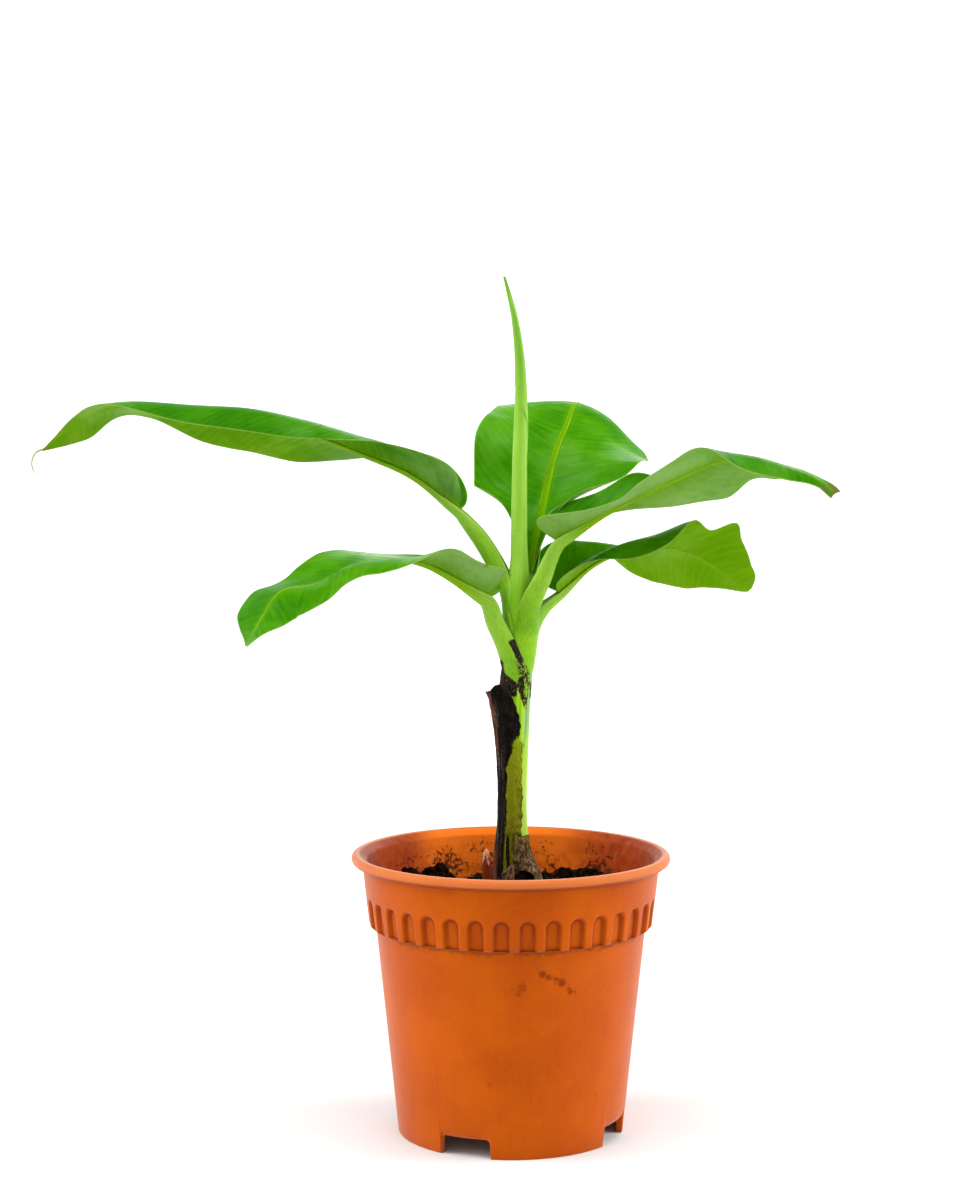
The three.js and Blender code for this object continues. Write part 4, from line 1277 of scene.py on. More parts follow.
# %% Stalk sizes
# Each station: x, y, z of the gutter's middle, its radius, its reach to each side in degrees,
# the wall at the keel and the wall at the margin. The last station meets the blade.
STALK_STATIONS = {
    "lower_left": [
        (2.4, -0.2, 258, 8.4, 160, 1.8, 0.7),
        (3.6, -0.4, 276, 9.1, 155, 1.8, 0.7),
        (4.0, -1.2, 288, 9.0, 146, 1.8, 0.7),
        (1.8, -2.6, 298, 8.9, 122, 2.2, 0.6),
        (-3.6, -5.4, 309.5, 7.0, 122, 3.2, 0.7),
        (-9.6, -7.2, 321.5, 6.2, 128, 3.6, 0.9),
        (-14.5, -8.0, 336, 6.2, 104, 3.6, 0.9),
    ],
    "lower_right": [
        (2.9, 0.2, 262, 8.2, 150, 1.8, 0.7),
        (3.9, 0.4, 280, 8.8, 146, 1.8, 0.7),
        (5.0, 0.8, 293, 9.1, 140, 1.8, 0.7),
        (7.6, 1.6, 307, 8.9, 130, 2.2, 0.6),
        (12.8, 3.4, 320, 6.6, 126, 3.0, 0.7),
        (20.5, 6.0, 330, 5.0, 118, 3.0, 0.8),
        (31.0, 10.0, 338.5, 4.1, 104, 2.6, 0.8),
    ],
    "upper_right": [
        (5.2, 0.0, 284, 7.4, 150, 1.6, 0.7),
        (6.8, -0.8, 301, 8.9, 138, 1.8, 0.6),
        (8.4, -2.0, 317, 8.9, 128, 2.2, 0.5),
        (11.3, -3.8, 333, 7.8, 119, 3.2, 0.5),
        (18.4, -8.2, 348, 6.3, 122, 3.8, 0.6),
        (29.5, -13.0, 372, 5.2, 104, 3.4, 0.9),
    ],
    "upper_left": [
        (5.0, 0.4, 294, 6.6, 110, 1.6, 0.7),
        (3.4, 0.4, 314, 8.2, 90, 1.8, 0.5),
        (1.8, 0.8, 333, 7.8, 80, 2.2, 0.5),
        (-2.6, 1.4, 346, 6.5, 118, 3.0, 0.5),
        (-9.6, 1.9, 358, 5.9, 150, 3.6, 0.8),
        (-18.0, 2.9, 371.5, 5.6, 152, 3.8, 0.9),
        (-25.0, 3.7, 381.0, 5.2, 136, 3.5, 0.9),
        (-32.5, 4.5, 390.5, 4.7, 104, 3.2, 0.9),
    ],
    "back": [
        (6.4, 1.0, 300, 6.4, 150, 1.6, 0.7),
        (7.0, 2.4, 316, 6.6, 140, 1.8, 0.6),
        (8.6, 5.6, 334, 5.4, 122, 2.6, 0.7),
        (12.5, 10.0, 351, 4.3, 104, 2.6, 0.8),
    ],
}
STALK_ROWS, RIB_ROWS, ARC_POINTS = 90, 110, 22


def gutter_rings(leaf, stations):
    """Rings of the crescent section from the sheath's foot to the tip of the midrib."""
    stations = np.array(stations, float)
    way = Way(np.concatenate([stations[:, :3], [leaf["way"][1]]]))
    share_to_blade = way.shares[-2]
    s = np.linspace(0, 1, STALK_ROWS, endpoint=False)
    middle, (T, S, U) = way.at(s * share_to_blade), way.axes(s * share_to_blade, leaf["heading"])
    radius, reach, keel, margin = smooth(way.shares[:-1] / share_to_blade, stations[:, 3:], s).T
    r = np.linspace(0.0, 0.985, RIB_ROWS)
    rib = rib_radius(leaf, r)
    _, rS, rU = leaf["line"].axes(r, leaf["heading"])
    run = r * leaf["line"].length
    settle = ease(0, 22, run)
    # Just past the stalk the section turns over gently from the stalk's axes to the blade's.
    rU = unit(U[-1] + (rU - U[-1]) * settle[:, None])
    rS = unit(S[-1] + (rS - S[-1]) * settle[:, None])
    middle = np.concatenate([middle, leaf["line"].at(r)])
    S, U = np.concatenate([S, rS]), np.concatenate([U, rU])
    radius = np.concatenate([radius, rib + (radius[-1] - rib[0]) * (1 - settle)])
    reach = np.radians(np.concatenate([reach, reach[-1] + (90 - reach[-1]) * settle]))
    keel = np.concatenate([keel, np.full(RIB_ROWS, keel[-1])])
    margin = np.concatenate([margin, np.full(RIB_ROWS, margin[-1])])
    under_blade = np.concatenate([ease(0.9, 1.0, s) * 0.5, 0.5 + 0.5 * settle])[:, None]
    turn = np.linspace(-1, 1, ARC_POINTS)[None] * reach[:, None]
    wall = margin[:, None] + (keel - margin)[:, None] * np.cos(0.5 * np.pi * turn / reach[:, None]) ** 2
    # Under the blade the upper side of the crescent follows the blade's own groove.
    R = radius[:, None]
    curve = GROOVE * np.sin(turn) ** 2 / R + 1e-6
    depth = GROOVE * R + 0.25
    groove = (-np.cos(turn) + np.sqrt(np.cos(turn) ** 2 + 4 * curve * depth)) / (2 * curve)
    inner = (R - wall) * (1 - under_blade) + np.minimum(groove, R - 0.3) * under_blade

    def around(distance, angle):
        level = (distance * np.sin(angle))[..., None] * S[:, None]
        return middle[:, None] + level - (distance * np.cos(angle))[..., None] * U[:, None]

    edge_turn = reach[:, None] + 0.3 / R
    outer_arc = around(R + 0 * turn, turn)
    inner_arc = around(inner, turn)[:, ::-1]
    last_edge = around((R + inner[:, -1:]) / 2, edge_turn)
    first_edge = around((R + inner[:, :1]) / 2, -edge_turn)
    rings = np.concatenate([outer_arc, last_edge, inner_arc, first_edge], axis=1)
    rings = np.roll(rings, 1, axis=1)
    arc = (reach[:, None] - abs(turn)) * R
    edge = np.concatenate([arc, 0 * reach[:, None], arc[:, ::-1], 0 * reach[:, None]], axis=1)
    side = np.concatenate([turn, reach[:, None], turn[:, ::-1], -reach[:, None]], axis=1)
    edge, side = np.roll(edge, 1, axis=1), np.roll(side, 1, axis=1)
    share = np.concatenate([s, 1 + r])[:, None] + 0 * edge
    return rings, {"edge": edge * 0.001, "side": side, "share": share}


# %% [markdown]
# The stalks and sheaths are a bright yellow green with fine lengthwise lines, paler towards their thin
# margins, and greyer with wax high up. On the lowest left sheath the margin has died back to a brown,
# torn seam. A mask carried by the mesh says where that is.

# %% Stalk finish
def fibres(tree, place, scale, along=0.05):
    """Noise drawn out along the height, for the lengthwise fibres of stems and sheaths."""
    return noise(tree, place, scale, 3.0, 0.6, squash=(1.0, 1.0, along))


def dead_share(tree, rag):
    """Where tissue has died: the mask carried by the mesh, with its border broken up by noise."""
    mask = attribute(tree, "dead")
    torn = plus(tree, mask, times(tree, minus(tree, rag, 0.5), 2.6))
    return times(tree, remap(tree, torn, 0.46, 0.54), remap(tree, mask, 0.02, 0.1))


def stalk_finish():
    material, tree, place = new_finish("fleshy_stalk")
    edge, side, share = attribute(tree, "edge"), attribute(tree, "side"), attribute(tree, "share")
    lines = add(tree, "ShaderNodeCombineXYZ", X=side, Y=times(tree, share, 0.6)).outputs[0]
    thread = noise(tree, lines, 26.0, 3.0, 0.6)
    cloud = noise(tree, place, 60.0, 3.0)
    low = tint(tree, cloud, colour(114, 180, 0), colour(144, 202, 8))
    high = tint(tree, cloud, colour(126, 182, 28), colour(154, 204, 66))
    base = tint(tree, remap(tree, share, 0.35, 1.0), low, high)
    # Painted shade: a darker green band partway up each stalk, in the clefts between sheaths.
    cleft_shade = band(tree, share, 0.28, 0.42, 0.46, 0.62)
    cleft_shade = times(tree, cleft_shade, remap(tree, cloud, 0.35, 0.6, 0.2, 0.7))
    base = tint(tree, cleft_shade, base, colour(84, 148, 0))
    under = tint(tree, cloud, colour(106, 160, 0), colour(140, 186, 12))
    base = tint(tree, remap(tree, share, 1.0, 1.12), base, under)
    base = tint(tree, remap(tree, thread, 0.5, 0.66, 0.0, 0.55), base, colour(170, 208, 60))
    base = tint(tree, remap(tree, thread, 0.48, 0.34, 0.0, 0.5), base, colour(72, 134, 0))
    pale = remap(tree, edge, 0.0022, 0.0002, 0.0, 0.6)
    pale = times(tree, pale, remap(tree, share, 1.0, 1.12, 1.0, 0.1))
    base = tint(tree, pale, base, colour(176, 206, 104))
    flecks = remap(tree, noise(tree, place, 520.0, 2.0), 0.68, 0.74, 0.0, 0.6)
    base = tint(tree, flecks, base, colour(84, 92, 20))
    rag = noise(tree, place, 520.0, 5.0, 0.8, squash=(1.0, 1.0, 0.7))
    dead = dead_share(tree, rag)
    base = tint(tree, times(tree, attribute(tree, "dead"), 0.7), base, colour(136, 146, 24))
    crumbly = remap(tree, noise(tree, place, 900.0, 3.0, 0.7), 0.5, 0.7)
    brown = tint(tree, crumbly, colour(14, 9, 6), colour(104, 76, 44))
    base = tint(tree, dead, base, brown)
    rough = plus(tree, remap(tree, thread, 0.3, 0.7, 0.36, 0.46), times(tree, dead, 0.4))
    relief = plus(tree, thread, times(tree, dead, rag))
    close_finish(
        tree, base, rough, relief, bump_depth=0.0002, bump_strength=0.7, glow=(base, 0.12),
        Specular_IOR_Level=remap(tree, share, 1.0, 1.12, 0.2, 0.02),
    )
    return material


# %% Make the stalks
STALK_FINISH = stalk_finish()


def dead_seam(rings):
    """Where the lowest left sheath has died back: past a border down its front, and at its foot."""
    across, depth, rise = rings[..., 0], rings[..., 1], rings[..., 2]
    in_front = ease(4, 1, depth)
    border = np.interp(rise, (277, 285, 293, 298, 303, 310), (3.1, 3.8, 3.5, 3.1, 1.1, -1.6))
    past = ease(-0.4, 0.6, across - border) * in_front * ease(312, 310, rise)
    dead = past * (0.52 + 0.4 * ease(297, 299, rise))
    strip = ease(3.6, 4.4, across) * ease(7.2, 6.2, across) * ease(290, 286, rise)
    dead = np.maximum(dead, past * strip)
    left_border = np.interp(rise, (276, 281, 297), (-3.8, -4.2, -6.0))
    left_rim = ease(1.7, 0.7, across - left_border) * in_front * ease(300, 295, rise)
    foot = ease(3.6, 2.2, across) * in_front * ease(282, 278, rise)
    return np.maximum(np.maximum(dead, 0.9 * left_rim), 0.95 * foot)


for name, leaf in LEAVES.items():
    rings, values = gutter_rings(leaf, STALK_STATIONS[name])
    dead = dead_seam(rings) if name == "lower_left" else 0 * values["edge"]
    piece = loft("stalk_" + name + "_gutter", rings, {**values, "dead": dead}, gutter=True)
    piece.data.materials.append(STALK_FINISH)
    ride_as(piece, "stalk_green", "stalk_" + name)

# %% [markdown]
# The false stem is not wood: it is the sheaths of all the leaves rolled round one another. From outside
# that shows as a smooth column with a few margins running up it, where one sheath ends over the next.
# The body is a stack of rounds along the stem's middle, and each margin is a small step in the radius
# whose place round the stem changes with height. The rolled young leaf is made the same way, with one
# step that winds round it.

# %% Rolled bodies
def rolled_rings(stations, rows, columns, steps, wrinkle=0.0):
    """Rounds along the stations, with a step in the radius where a roll's margin runs."""
    stations = np.array(stations, float)
    way = Way(stations[:, :3])
    s = np.linspace(0, 1, rows)
    middle = way.at(s)
    half = smooth(way.shares, stations[:, 3:5], s)
    turn = np.linspace(0, 360, columns, endpoint=False)[None] + 0 * s[:, None]
    lift = 0 * turn
    wander = 5 * np.sin(9 * s + 1.3) + 3 * np.sin(23 * s)
    for shares, degrees, height in steps:
        at = (np.interp(s, shares, degrees) + wander)[:, None]
        past = np.mod(turn - at, 360)
        lift = lift + height * (ease(0, 7, past) - past / 360)
    lift = lift + wrinkle * np.sin(np.radians(7 * turn) + 20 * s[:, None]) * np.sin(5 * s[:, None])
    a = np.radians(turn)
    x = middle[:, :1] + (half[:, :1] + lift) * np.cos(a)
    y = middle[:, 1:2] + (half[:, 1:] + lift) * np.sin(a)
    z = middle[:, 2:] + 0 * a
    # Degrees round from the side that the camera sees, positive to its right.
    facing = np.mod(turn + 90 + 180, 360) - 180
    return np.stack([x, y, z], -1), facing


# Each station: x, y, z of the roll's middle and its two half widths. Each margin: shares of the
# length, the degrees round the stem at those shares, and how high the margin stands.
FALSE_STEM = [
    (0.5, 0, 156, 11.6, 11.2), (0.8, 0, 178, 10.0, 9.8), (1.2, 0, 208, 8.1, 8.4),
    (1.4, 0, 240, 8.9, 8.9), (2.2, 0, 271, 9.2, 9.2), (3.8, 0, 290, 9.0, 8.9),
    (5.0, 0.2, 303, 7.6, 7.8), (5.4, 0, 320, 5.6, 6.0),
]
STEM_MARGINS = [((0, 1), (-66, -38), 0.6), ((0, 1), (40, 75), 0.5), ((0, 1), (172, 140), 0.5)]
YOUNG_LEAF = [
    (4.4, 0.2, 296, 7.4, 7.2), (3.9, 0.2, 314, 8.5, 8.1), (3.7, 0.2, 331, 8.3, 7.9),
    (4.6, 0.1, 346, 6.6, 6.3), (5.3, 0, 358, 5.2, 5.1), (5.2, 0, 370, 4.8, 4.8), (5.5, 0, 419, 4.4, 4.4),
    (6, 0, 457, 3.7, 3.7), (5.6, 0, 482, 2.8, 2.8), (2.6, 0, 508, 1.9, 1.9), (-1.5, 0, 524, 0.9, 0.9),
    (-4.5, 0, 535, 0.4, 0.4),
]
YOUNG_MARGINS = [((0, 0.3, 0.61, 0.72, 1), (300, 150, -20, -175, -420), 0.7)]
stem_rings, stem_facing = rolled_rings(FALSE_STEM, 200, 180, STEM_MARGINS, wrinkle=0.08)
young_rings, young_facing = rolled_rings(YOUNG_LEAF, 260, 96, YOUNG_MARGINS)
print("false stem rings", stem_rings.shape, "young leaf rings", young_rings.shape)


# %% False stem and young leaf finishes
def stem_finish():
    material, tree, place = new_finish("false_stem_skin")
    facing, height = attribute(tree, "facing"), attribute(tree, "height")
    long = fibres(tree, place, 330.0, 0.04)
    cloud = noise(tree, place, 70.0, 3.0, squash=(1.0, 1.0, 0.35))
    base = tint(tree, cloud, colour(132, 184, 0), colour(162, 206, 24))
    base = tint(tree, remap(tree, facing, 20.0, 60.0, 0.0, 0.4), base, colour(182, 208, 84))
    base = tint(tree, remap(tree, long, 0.45, 0.66, 0.0, 0.5), base, colour(174, 208, 96))
    base = tint(tree, remap(tree, long, 0.42, 0.3, 0.0, 0.4), base, colour(92, 144, 6))
    # The wax on the outer side of the top is bluish, and the column is yellower towards the soil.
    wax = times(tree, remap(tree, facing, 36.0, 50.0), remap(tree, height, 0.235, 0.262))
    base = tint(tree, times(tree, wax, 0.75), base, colour(116, 160, 112))
    base = tint(tree, remap(tree, height, 0.215, 0.165, 0.0, 0.55), base, colour(150, 172, 66))
    rag = noise(tree, place, 420.0, 5.0, 0.8, squash=(1.0, 1.0, 0.7))
    flecks = noise(tree, place, 300.0, 3.0, 0.6, squash=(1.0, 1.0, 0.4))
    base = tint(tree, remap(tree, flecks, 0.66, 0.72, 0.0, 0.7), base, colour(104, 92, 34))
    # The dead mask also covers the stem's foot, where the dark brown is painted shade.
    dead = dead_share(tree, rag)
    crumbly = remap(tree, noise(tree, place, 1000.0, 3.0, 0.7), 0.5, 0.7)
    brown = tint(tree, crumbly, colour(14, 9, 6), colour(110, 82, 48))
    base = tint(tree, dead, base, brown)
    rough = plus(tree, remap(tree, long, 0.3, 0.7, 0.36, 0.5), times(tree, dead, 0.35))
    relief = plus(tree, long, times(tree, dead, rag))
    close_finish(tree, base, rough, relief, bump_depth=0.0003, bump_strength=0.7, Specular_IOR_Level=0.15)
    return material


def young_leaf_finish():
    material, tree, place = new_finish("rolled_leaf")
    facing, height = attribute(tree, "facing"), attribute(tree, "height")
    long = fibres(tree, place, 420.0, 0.02)
    fine = noise(tree, place, 240.0, 3.0, squash=(1.0, 1.0, 0.25))
    base = tint(tree, fine, colour(130, 188, 34), colour(164, 214, 74))
    base = tint(tree, remap(tree, long, 0.42, 0.66, 0.0, 0.45), base, colour(176, 214, 100))
    base = tint(tree, remap(tree, height, 0.42, 0.50, 0.0, 0.6), base, colour(92, 152, 26))
    base = tint(tree, remap(tree, height, 0.362, 0.335, 0.0, 0.85), base, colour(118, 180, 2))
    # Painted shade: darker green low down, where the rolled leaf sits between the stalks.
    base = tint(tree, remap(tree, height, 0.326, 0.306, 0.0, 0.7), base, colour(84, 146, 0))
    specks = remap(tree, noise(tree, place, 520.0, 3.0, 0.65), 0.66, 0.72, 0.0, 0.75)
    base = tint(tree, specks, base, colour(120, 128, 40))
    rough = remap(tree, fine, 0.3, 0.7, 0.36, 0.48)
    close_finish(
        tree, base, rough, long, bump_depth=0.0002, bump_strength=0.7, glow=(base, 0.15),
        Specular_IOR_Level=0.2,
    )
    return material


# %% Make the false stem and the young leaf
def dead_skin_and_shaded_foot(facing, up):
    """Where the stem's skin has died, a patch by the lowest stalk and behind the sheath, and the foot,
    whose dark brown is painted shade.
    """
    patch = 0.75 * ease(6, 16, facing) * ease(58, 44, facing) * ease(272, 280, up) * ease(300, 292, up)
    behind = 0.95 * ease(-100, -80, facing) * ease(12, 2, facing) * ease(273, 277, up)
    # At the foot the mask paints shade under the husk's arch, not dead skin.
    return np.maximum(np.maximum(patch, behind), 1.5 * ease(172, 165, up))


up = stem_rings[..., 2]
stem_marks = {"facing": stem_facing, "height": up * 0.001, "dead": dead_skin_and_shaded_foot(stem_facing, up)}
stem_piece = loft("stem_rolled", stem_rings, stem_marks)
stem_piece.data.materials.append(stem_finish())
ride_as(stem_piece, "stem_green", "false_stem")
young_marks = {"facing": young_facing, "height": young_rings[..., 2] * 0.001}
young_piece = loft("young_leaf_rolled", young_rings, young_marks)
young_piece.data.materials.append(young_leaf_finish())
ride_as(young_piece, "young_leaf", "spear_leaf")

# %% [markdown]
# The lowest sheath has died. Its leaf is gone, so it ends in a ragged cut, bends away at the top, and is
# nearly black, but down its front it is still olive green behind a dark, wavy margin. A dry, fibrous
# husk stands round the foot on the other side and leaves a low arch open over the soil. Both are thin
# shells round the stem, so both are grown by the same sheet tree as the leaves.

# %% Shells round the stem
def shell_grid(stations, across, foot_of, top_of, rows, flare=0.0):
    """A grid round the stem: rows go up from each column's own foot to its own ragged top."""
    stations = np.array(stations, float)
    facing = np.asarray(across, float)
    share = np.linspace(0, 1, rows)[:, None]
    z = foot_of(facing)[None] + (top_of(facing) - foot_of(facing))[None] * share
    sizes = smooth(stations[:, 2], stations[:, [0, 1, 3, 4]], z.reshape(-1))
    x0, y0, wide, deep = [v.reshape(z.shape) for v in sizes.T]
    a = np.radians(facing - 90)[None]
    swell = flare * share**6
    points = np.stack([x0 + (wide + swell) * np.cos(a), y0 + (deep + swell) * np.sin(a), z], -1)
    reach = np.radians(abs(facing - facing.mean()).max() - abs(facing - facing.mean()))[None] * wide
    edge = np.minimum(reach, (1 - share) * (top_of(facing) - foot_of(facing))[None])
    along = z * 0.001
    values = {"along": along, "out": np.radians(facing)[None] * 0.01 + 0 * z, "edge": edge * 0.001}
    values["facing"] = facing[None] + 0 * z
    values["height"] = along
    return points, values


# Each station: x, y, z of the shell's middle and its two half widths.
DEAD_SHEATH = [
    (-1, -1.0, 155, 11.4, 10.2), (-0.6, -1.2, 177, 10.0, 10.0), (0.2, -1.5, 195, 8.9, 9.8),
    (0.4, -1.5, 222, 8.9, 9.8), (-0.6, -2, 248, 9.7, 10.4), (-3, -3, 266, 9.9, 10.6),
    (-6.5, -4, 284, 10.3, 10),
]
DRY_HUSK = [
    (5.5, -3.4, 154, 16, 14), (5.9, -3.0, 164, 13, 12.6), (2.8, -2.0, 176, 10.6, 11.3),
    (1.5, -1.6, 194, 9.8, 10.4),
]


def jagged(facing, size, seed):
    beat = sum(np.sin(np.radians(facing) * k + seed * k) / k**0.6 for k in (5, 11, 17, 29, 43))
    return size * beat


sheath_across = np.linspace(-158, 46, 170)


def sheath_foot(facing):
    return 156.0 + 0 * facing


def sheath_top(facing):
    """Lower towards both sides, ragged, and with two notches torn into it."""
    fall = 5.5 * ease(-7, -80, facing) + 0.006 * np.clip(facing + 7, 0, 60) ** 2
    notches = 3.2 * np.exp(-(((facing - 6) / 3.5) ** 2)) + 2.2 * np.exp(-(((facing + 52) / 4) ** 2))
    return 283 - fall + jagged(facing, 0.6, 1.7) - notches


points, values = shell_grid(DEAD_SHEATH, sheath_across, sheath_foot, sheath_top, 190)
margin_wave = 0.55 * np.sin(points[..., 2] * 0.42) + 0.35 * np.sin(points[..., 2] * 1.1 + 1)
points[..., 0] += margin_wave * ease(22, 50, values["facing"])
points[..., 1] -= 0.5 * ease(30, 50, values["facing"])
sheath_grid = (points, values)

husk_across = np.linspace(-84, 168, 220)


def husk_foot(facing):
    x = 5.9 + 13.2 * np.cos(np.radians(facing - 90))
    arch = np.sqrt(np.clip(7.0**2 - (x - 8.1) ** 2, 0, None))
    stands = 5.0 * ease(0, 3, arch) + arch
    return 155.0 + stands * (facing < 90) + 0.2 * jagged(facing, 1.0, 0.6)


def husk_top(facing):
    low_flap = 161 + 9 * ease(-84, -20, facing)
    return low_flap + 18 * ease(-15, 4, facing) - 15 * ease(62, 130, facing) + jagged(facing, 0.9, 2.9)


husk_grid = shell_grid(DRY_HUSK, husk_across, husk_foot, husk_top, 70)
tops = sheath_top(sheath_across)
print("sheath top from", round(tops.min(), 1), "to", round(tops.max(), 1))


# %% Dead sheath and husk finishes
def olive_share(tree, facing, height, rag):
    """The olive part: its left border slopes, its top is near the break, and low down it is strips."""
    slope = remap(tree, height, 0.230, 0.250, -23.0, 20.0, smooth=False)
    wobble = times(tree, minus(tree, rag, 0.5), 42.0)
    past = minus(tree, plus(tree, facing, wobble), slope)
    olive = times(tree, remap(tree, past, -2.0, 5.0), remap(tree, height, 0.2515, 0.248))
    bent = plus(tree, facing, times(tree, minus(tree, height, 0.175), 420.0), times(tree, wobble, 0.35))
    lower = calc(tree, "SINE", times(tree, bent, math.pi / 13.0))
    low_strips = remap(tree, lower, -0.4, 0.3)
    olive = times(tree, olive, remap(tree, height, 0.186, 0.192, 0.0, 1.0))
    strips = times(tree, low_strips, remap(tree, height, 0.192, 0.186), 0.9)
    strips = times(tree, strips, remap(tree, calc(tree, "ABSOLUTE", facing), 26.0, 18.0))
    return calc(tree, "MAXIMUM", olive, strips)


def dead_sheath_finish():
    material, tree, place = new_finish("dead_sheath_skin")
    facing, height, edge = attribute(tree, "facing"), attribute(tree, "height"), attribute(tree, "edge")
    rag = noise(tree, place, 300.0, 5.0, 0.7, squash=(1.0, 1.0, 0.45))
    fine = noise(tree, place, 900.0, 4.0, 0.75)
    long = fibres(tree, place, 420.0, 0.06)
    base = tint(tree, remap(tree, rag, 0.4, 0.7), colour(4, 3, 2), colour(32, 24, 17))
    crumbs = remap(tree, fine, 0.62, 0.72, 0.0, 0.7)
    base = tint(tree, crumbs, base, colour(104, 92, 64))
    flaky = times(tree, remap(tree, long, 0.5, 0.6), remap(tree, facing, -14.0, -60.0, 0.0, 0.7))
    flaky = times(tree, flaky, remap(tree, fine, 0.44, 0.56))
    base = tint(tree, flaky, base, colour(118, 104, 86))
    # The outer left edge is a rusty brown, high up and at the foot.
    ends = calc(tree, "MAXIMUM", remap(tree, height, 0.238, 0.252), remap(tree, height, 0.182, 0.172))
    rusty = times(tree, remap(tree, facing, -40.0, -60.0), ends, remap(tree, long, 0.4, 0.58, 0.15, 0.9))
    base = tint(tree, rusty, base, colour(112, 62, 42))
    olive = olive_share(tree, facing, height, rag)
    green = tint(tree, rag, colour(96, 104, 0), colour(136, 144, 20))
    blotches = remap(tree, noise(tree, place, 90.0, 3.0), 0.5, 0.68, 0.0, 0.6)
    green = tint(tree, blotches, green, colour(118, 98, 22))
    green = tint(tree, remap(tree, fine, 0.54, 0.64, 0.0, 0.7), green, colour(62, 58, 18))
    green = tint(tree, remap(tree, height, 0.248, 0.205, 0.35, 0.0), green, colour(150, 176, 14))
    base = tint(tree, olive, base, green)
    seam = remap(tree, edge, 0.0009, 0.0004)
    base = tint(tree, times(tree, seam, 0.85), base, colour(34, 30, 12))
    rough = remap(tree, rag, 0.3, 0.7, 0.6, 0.9)
    relief = plus(tree, times(tree, rag, 1.2), times(tree, fine, 0.5), long)
    close_finish(tree, base, rough, relief, bump_depth=0.0014, bump_strength=1.0, Specular_IOR_Level=0.06)
    return material


def husk_finish():
    material, tree, place = new_finish("fibrous_husk")
    facing, height = attribute(tree, "facing"), attribute(tree, "height")
    net = add(tree, "ShaderNodeCombineXYZ", X=times(tree, facing, 0.05)).outputs[0]
    lines = add(tree, "ShaderNodeMapping", Vector=place, Rotation=(0.0, 0.5, 0.0), Scale=(1.0, 1.0, 0.08))
    strands = add(tree, "ShaderNodeTexNoise", Vector=lines.outputs[0], Scale=900.0, Detail=3.0).outputs[0]
    cross = noise(tree, net, 14.0, 4.0)
    rag = noise(tree, place, 260.0, 5.0, 0.7)
    base = tint(tree, remap(tree, rag, 0.38, 0.62), colour(48, 34, 22), colour(124, 96, 66))
    base = tint(tree, remap(tree, strands, 0.54, 0.66, 0.0, 0.65), base, colour(172, 144, 108))
    base = tint(tree, remap(tree, strands, 0.46, 0.34, 0.0, 0.8), base, colour(40, 28, 18))
    holes = remap(tree, noise(tree, place, 460.0, 4.0, 0.7), 0.54, 0.6, 0.0, 0.9)
    base = tint(tree, holes, base, colour(30, 20, 14))
    base = tint(tree, remap(tree, height, 0.188, 0.176, 0.5, 0.0), base, colour(104, 98, 30))
    lip = remap(tree, attribute(tree, "edge"), 0.0016, 0.0003, 0.0, 0.6)
    base = tint(tree, times(tree, lip, remap(tree, height, 0.172, 0.166)), base, colour(172, 152, 122))
    relief = plus(tree, strands, times(tree, cross, 0.4), rag)
    close_finish(tree, base, 0.85, relief, bump_depth=0.0012, bump_strength=1.0, Specular_IOR_Level=0.04)
    return material


# %% Make the sheath and the husk
sheath_piece = grow_sheet(
    "dead_sheath", *sheath_grid, thickness=0.0011, margin_thickness=0.0007, ripple=0.0012,
    ripple_scale=150.0, ripple_seed=4.0, finish=dead_sheath_finish(),
)
ride_as(sheath_piece, "dead_sheath", "old_sheath")
husk_piece = grow_sheet(
    "dry_husk", *husk_grid, thickness=0.0009, margin_thickness=0.0004, ripple=0.0016,
    ripple_scale=170.0, ripple_seed=9.0, finish=husk_finish(),
)
ride_as(husk_piece, "dry_husk", "base_husk")

# %% [markdown]
# The longest leaf ends in a dry thread that curls down. It is a body swept along a few points, thinner
# and thinner, like a stalk but round.

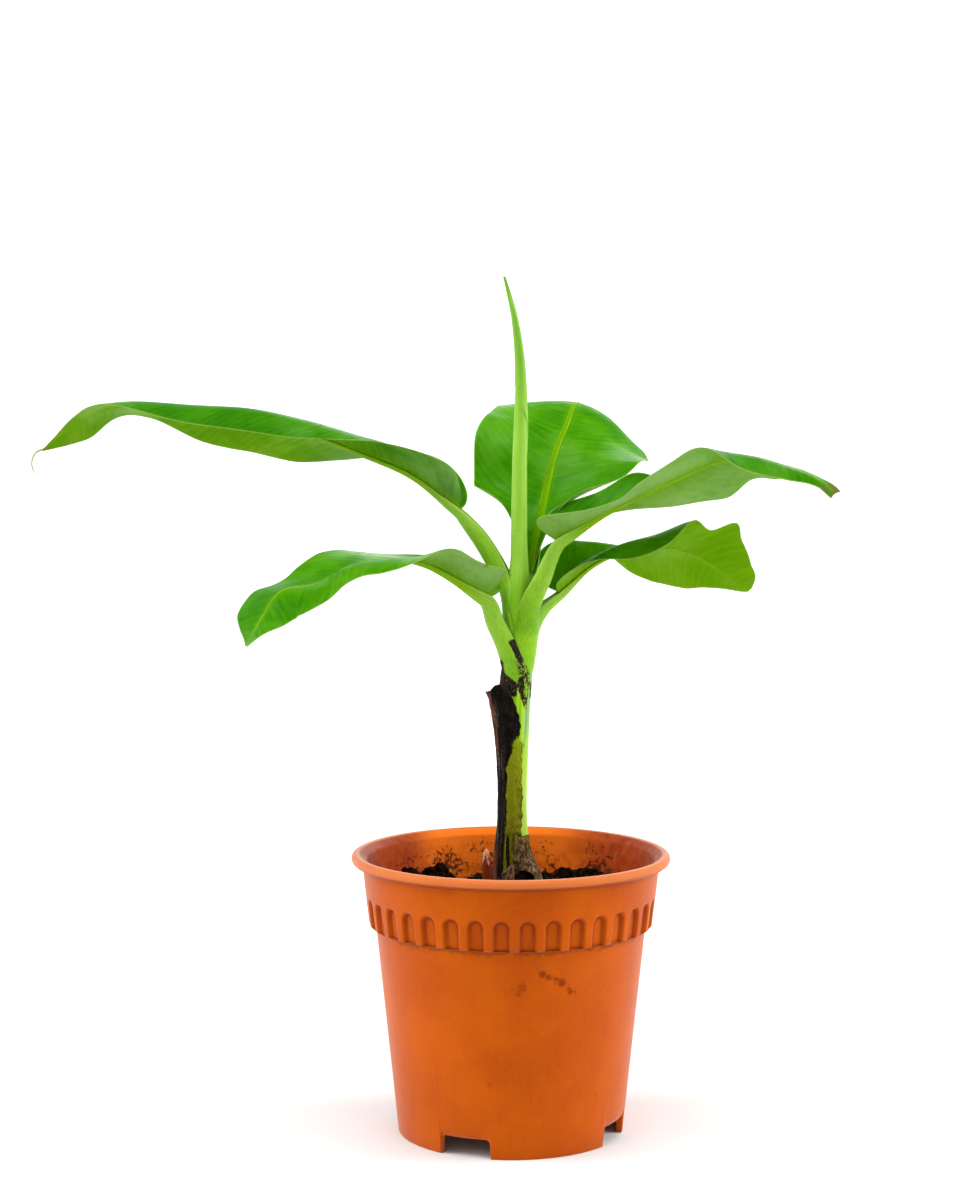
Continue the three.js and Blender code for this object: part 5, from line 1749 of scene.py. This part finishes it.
# %% Dry thread
# Each station: x, y, z from the tip of the blade and the thread's two half widths.
CURL = [
    (0.6, 0, 0.2, 0.75, 0.5), (-2.6, 0, -0.8, 0.7, 0.55), (-5.0, 0, -3.2, 0.6, 0.5),
    (-6.6, 0, -7.4, 0.5, 0.45), (-6.2, 0, -11.8, 0.4, 0.4), (-4.0, 0, -16.0, 0.2, 0.2),
]
curl = np.array(CURL)
curl_way = Way(curl[:, :3] + LEAVES["upper_left"]["way"][-1])
curl_share = np.linspace(0, 1, 40)
curl_half = smooth(curl_way.shares, curl[:, 3:], curl_share)
T, S, U = curl_way.axes(curl_share, 90)
turn = np.linspace(0, math.tau, 12, endpoint=False)[None, :, None]
curl_rings = curl_way.at(curl_share)[:, None] + S[:, None] * (curl_half[:, :1, None] * np.cos(turn))
curl_rings = curl_rings + U[:, None] * (curl_half[:, 1:, None] * np.sin(turn))
curl_piece = loft("dry_tip", curl_rings)


def dry_finish():
    material, tree, place = new_finish("dry_thread")
    base = tint(tree, noise(tree, place, 300.0, 3.0), colour(128, 148, 84), colour(176, 182, 128))
    close_finish(tree, base, 0.6)
    return material


curl_piece.data.materials.append(dry_finish())
ride_as(curl_piece, "leaf_green", *NODES_OF["upper_left"])

# %% [markdown]
# Beside the stem a side shoot has just come up: a pale, pinkish point with a dry brown scale behind it.
# It is rolled like the stem, so the same rule makes it, with its own margins.

# %% Side shoot
def shoot_finish():
    material, tree, place = new_finish("young_shoot")
    rag = noise(tree, place, 500.0, 4.0, 0.65, squash=(1.0, 1.0, 0.3))
    height = add(tree, "ShaderNodeSeparateXYZ", Vector=place).outputs[2]
    base = tint(tree, rag, colour(212, 132, 92), colour(240, 178, 140))
    foot = plus(tree, height, times(tree, minus(tree, rag, 0.5), 0.03))
    base = tint(tree, remap(tree, foot, 0.179, 0.172), base, colour(112, 42, 14))
    specks = remap(tree, noise(tree, place, 1200.0, 3.0, 0.7), 0.54, 0.6, 0.0, 0.85)
    specks = times(tree, specks, remap(tree, foot, 0.182, 0.168, 0.3, 1.0))
    base = tint(tree, specks, base, colour(60, 32, 18))
    close_finish(tree, base, 0.6, rag, bump_depth=0.0003, glow=(base, 0.1), Specular_IOR_Level=0.08)
    return material


SHOOT = [
    (-14, -13, 155, 3.3, 3), (-14.5, -13, 163, 3.2, 3.0), (-15.1, -13, 170, 2.8, 2.6),
    (-15.5, -12.8, 174.5, 2.3, 2.1), (-15.4, -12.6, 178.2, 1.3, 1.2), (-15.1, -12.6, 180, 0.3, 0.3),
]
SHOOT_MARGINS = [((0, 1), (-200, -60), 0.35), ((0, 1), (0, 150), 0.3)]
shoot_rings, _ = rolled_rings(SHOOT, 70, 48, SHOOT_MARGINS)
shoot_piece = loft("shoot_point", shoot_rings)
shoot_piece.data.materials.append(shoot_finish())
ride_as(shoot_piece, "shoot", "side_shoot")
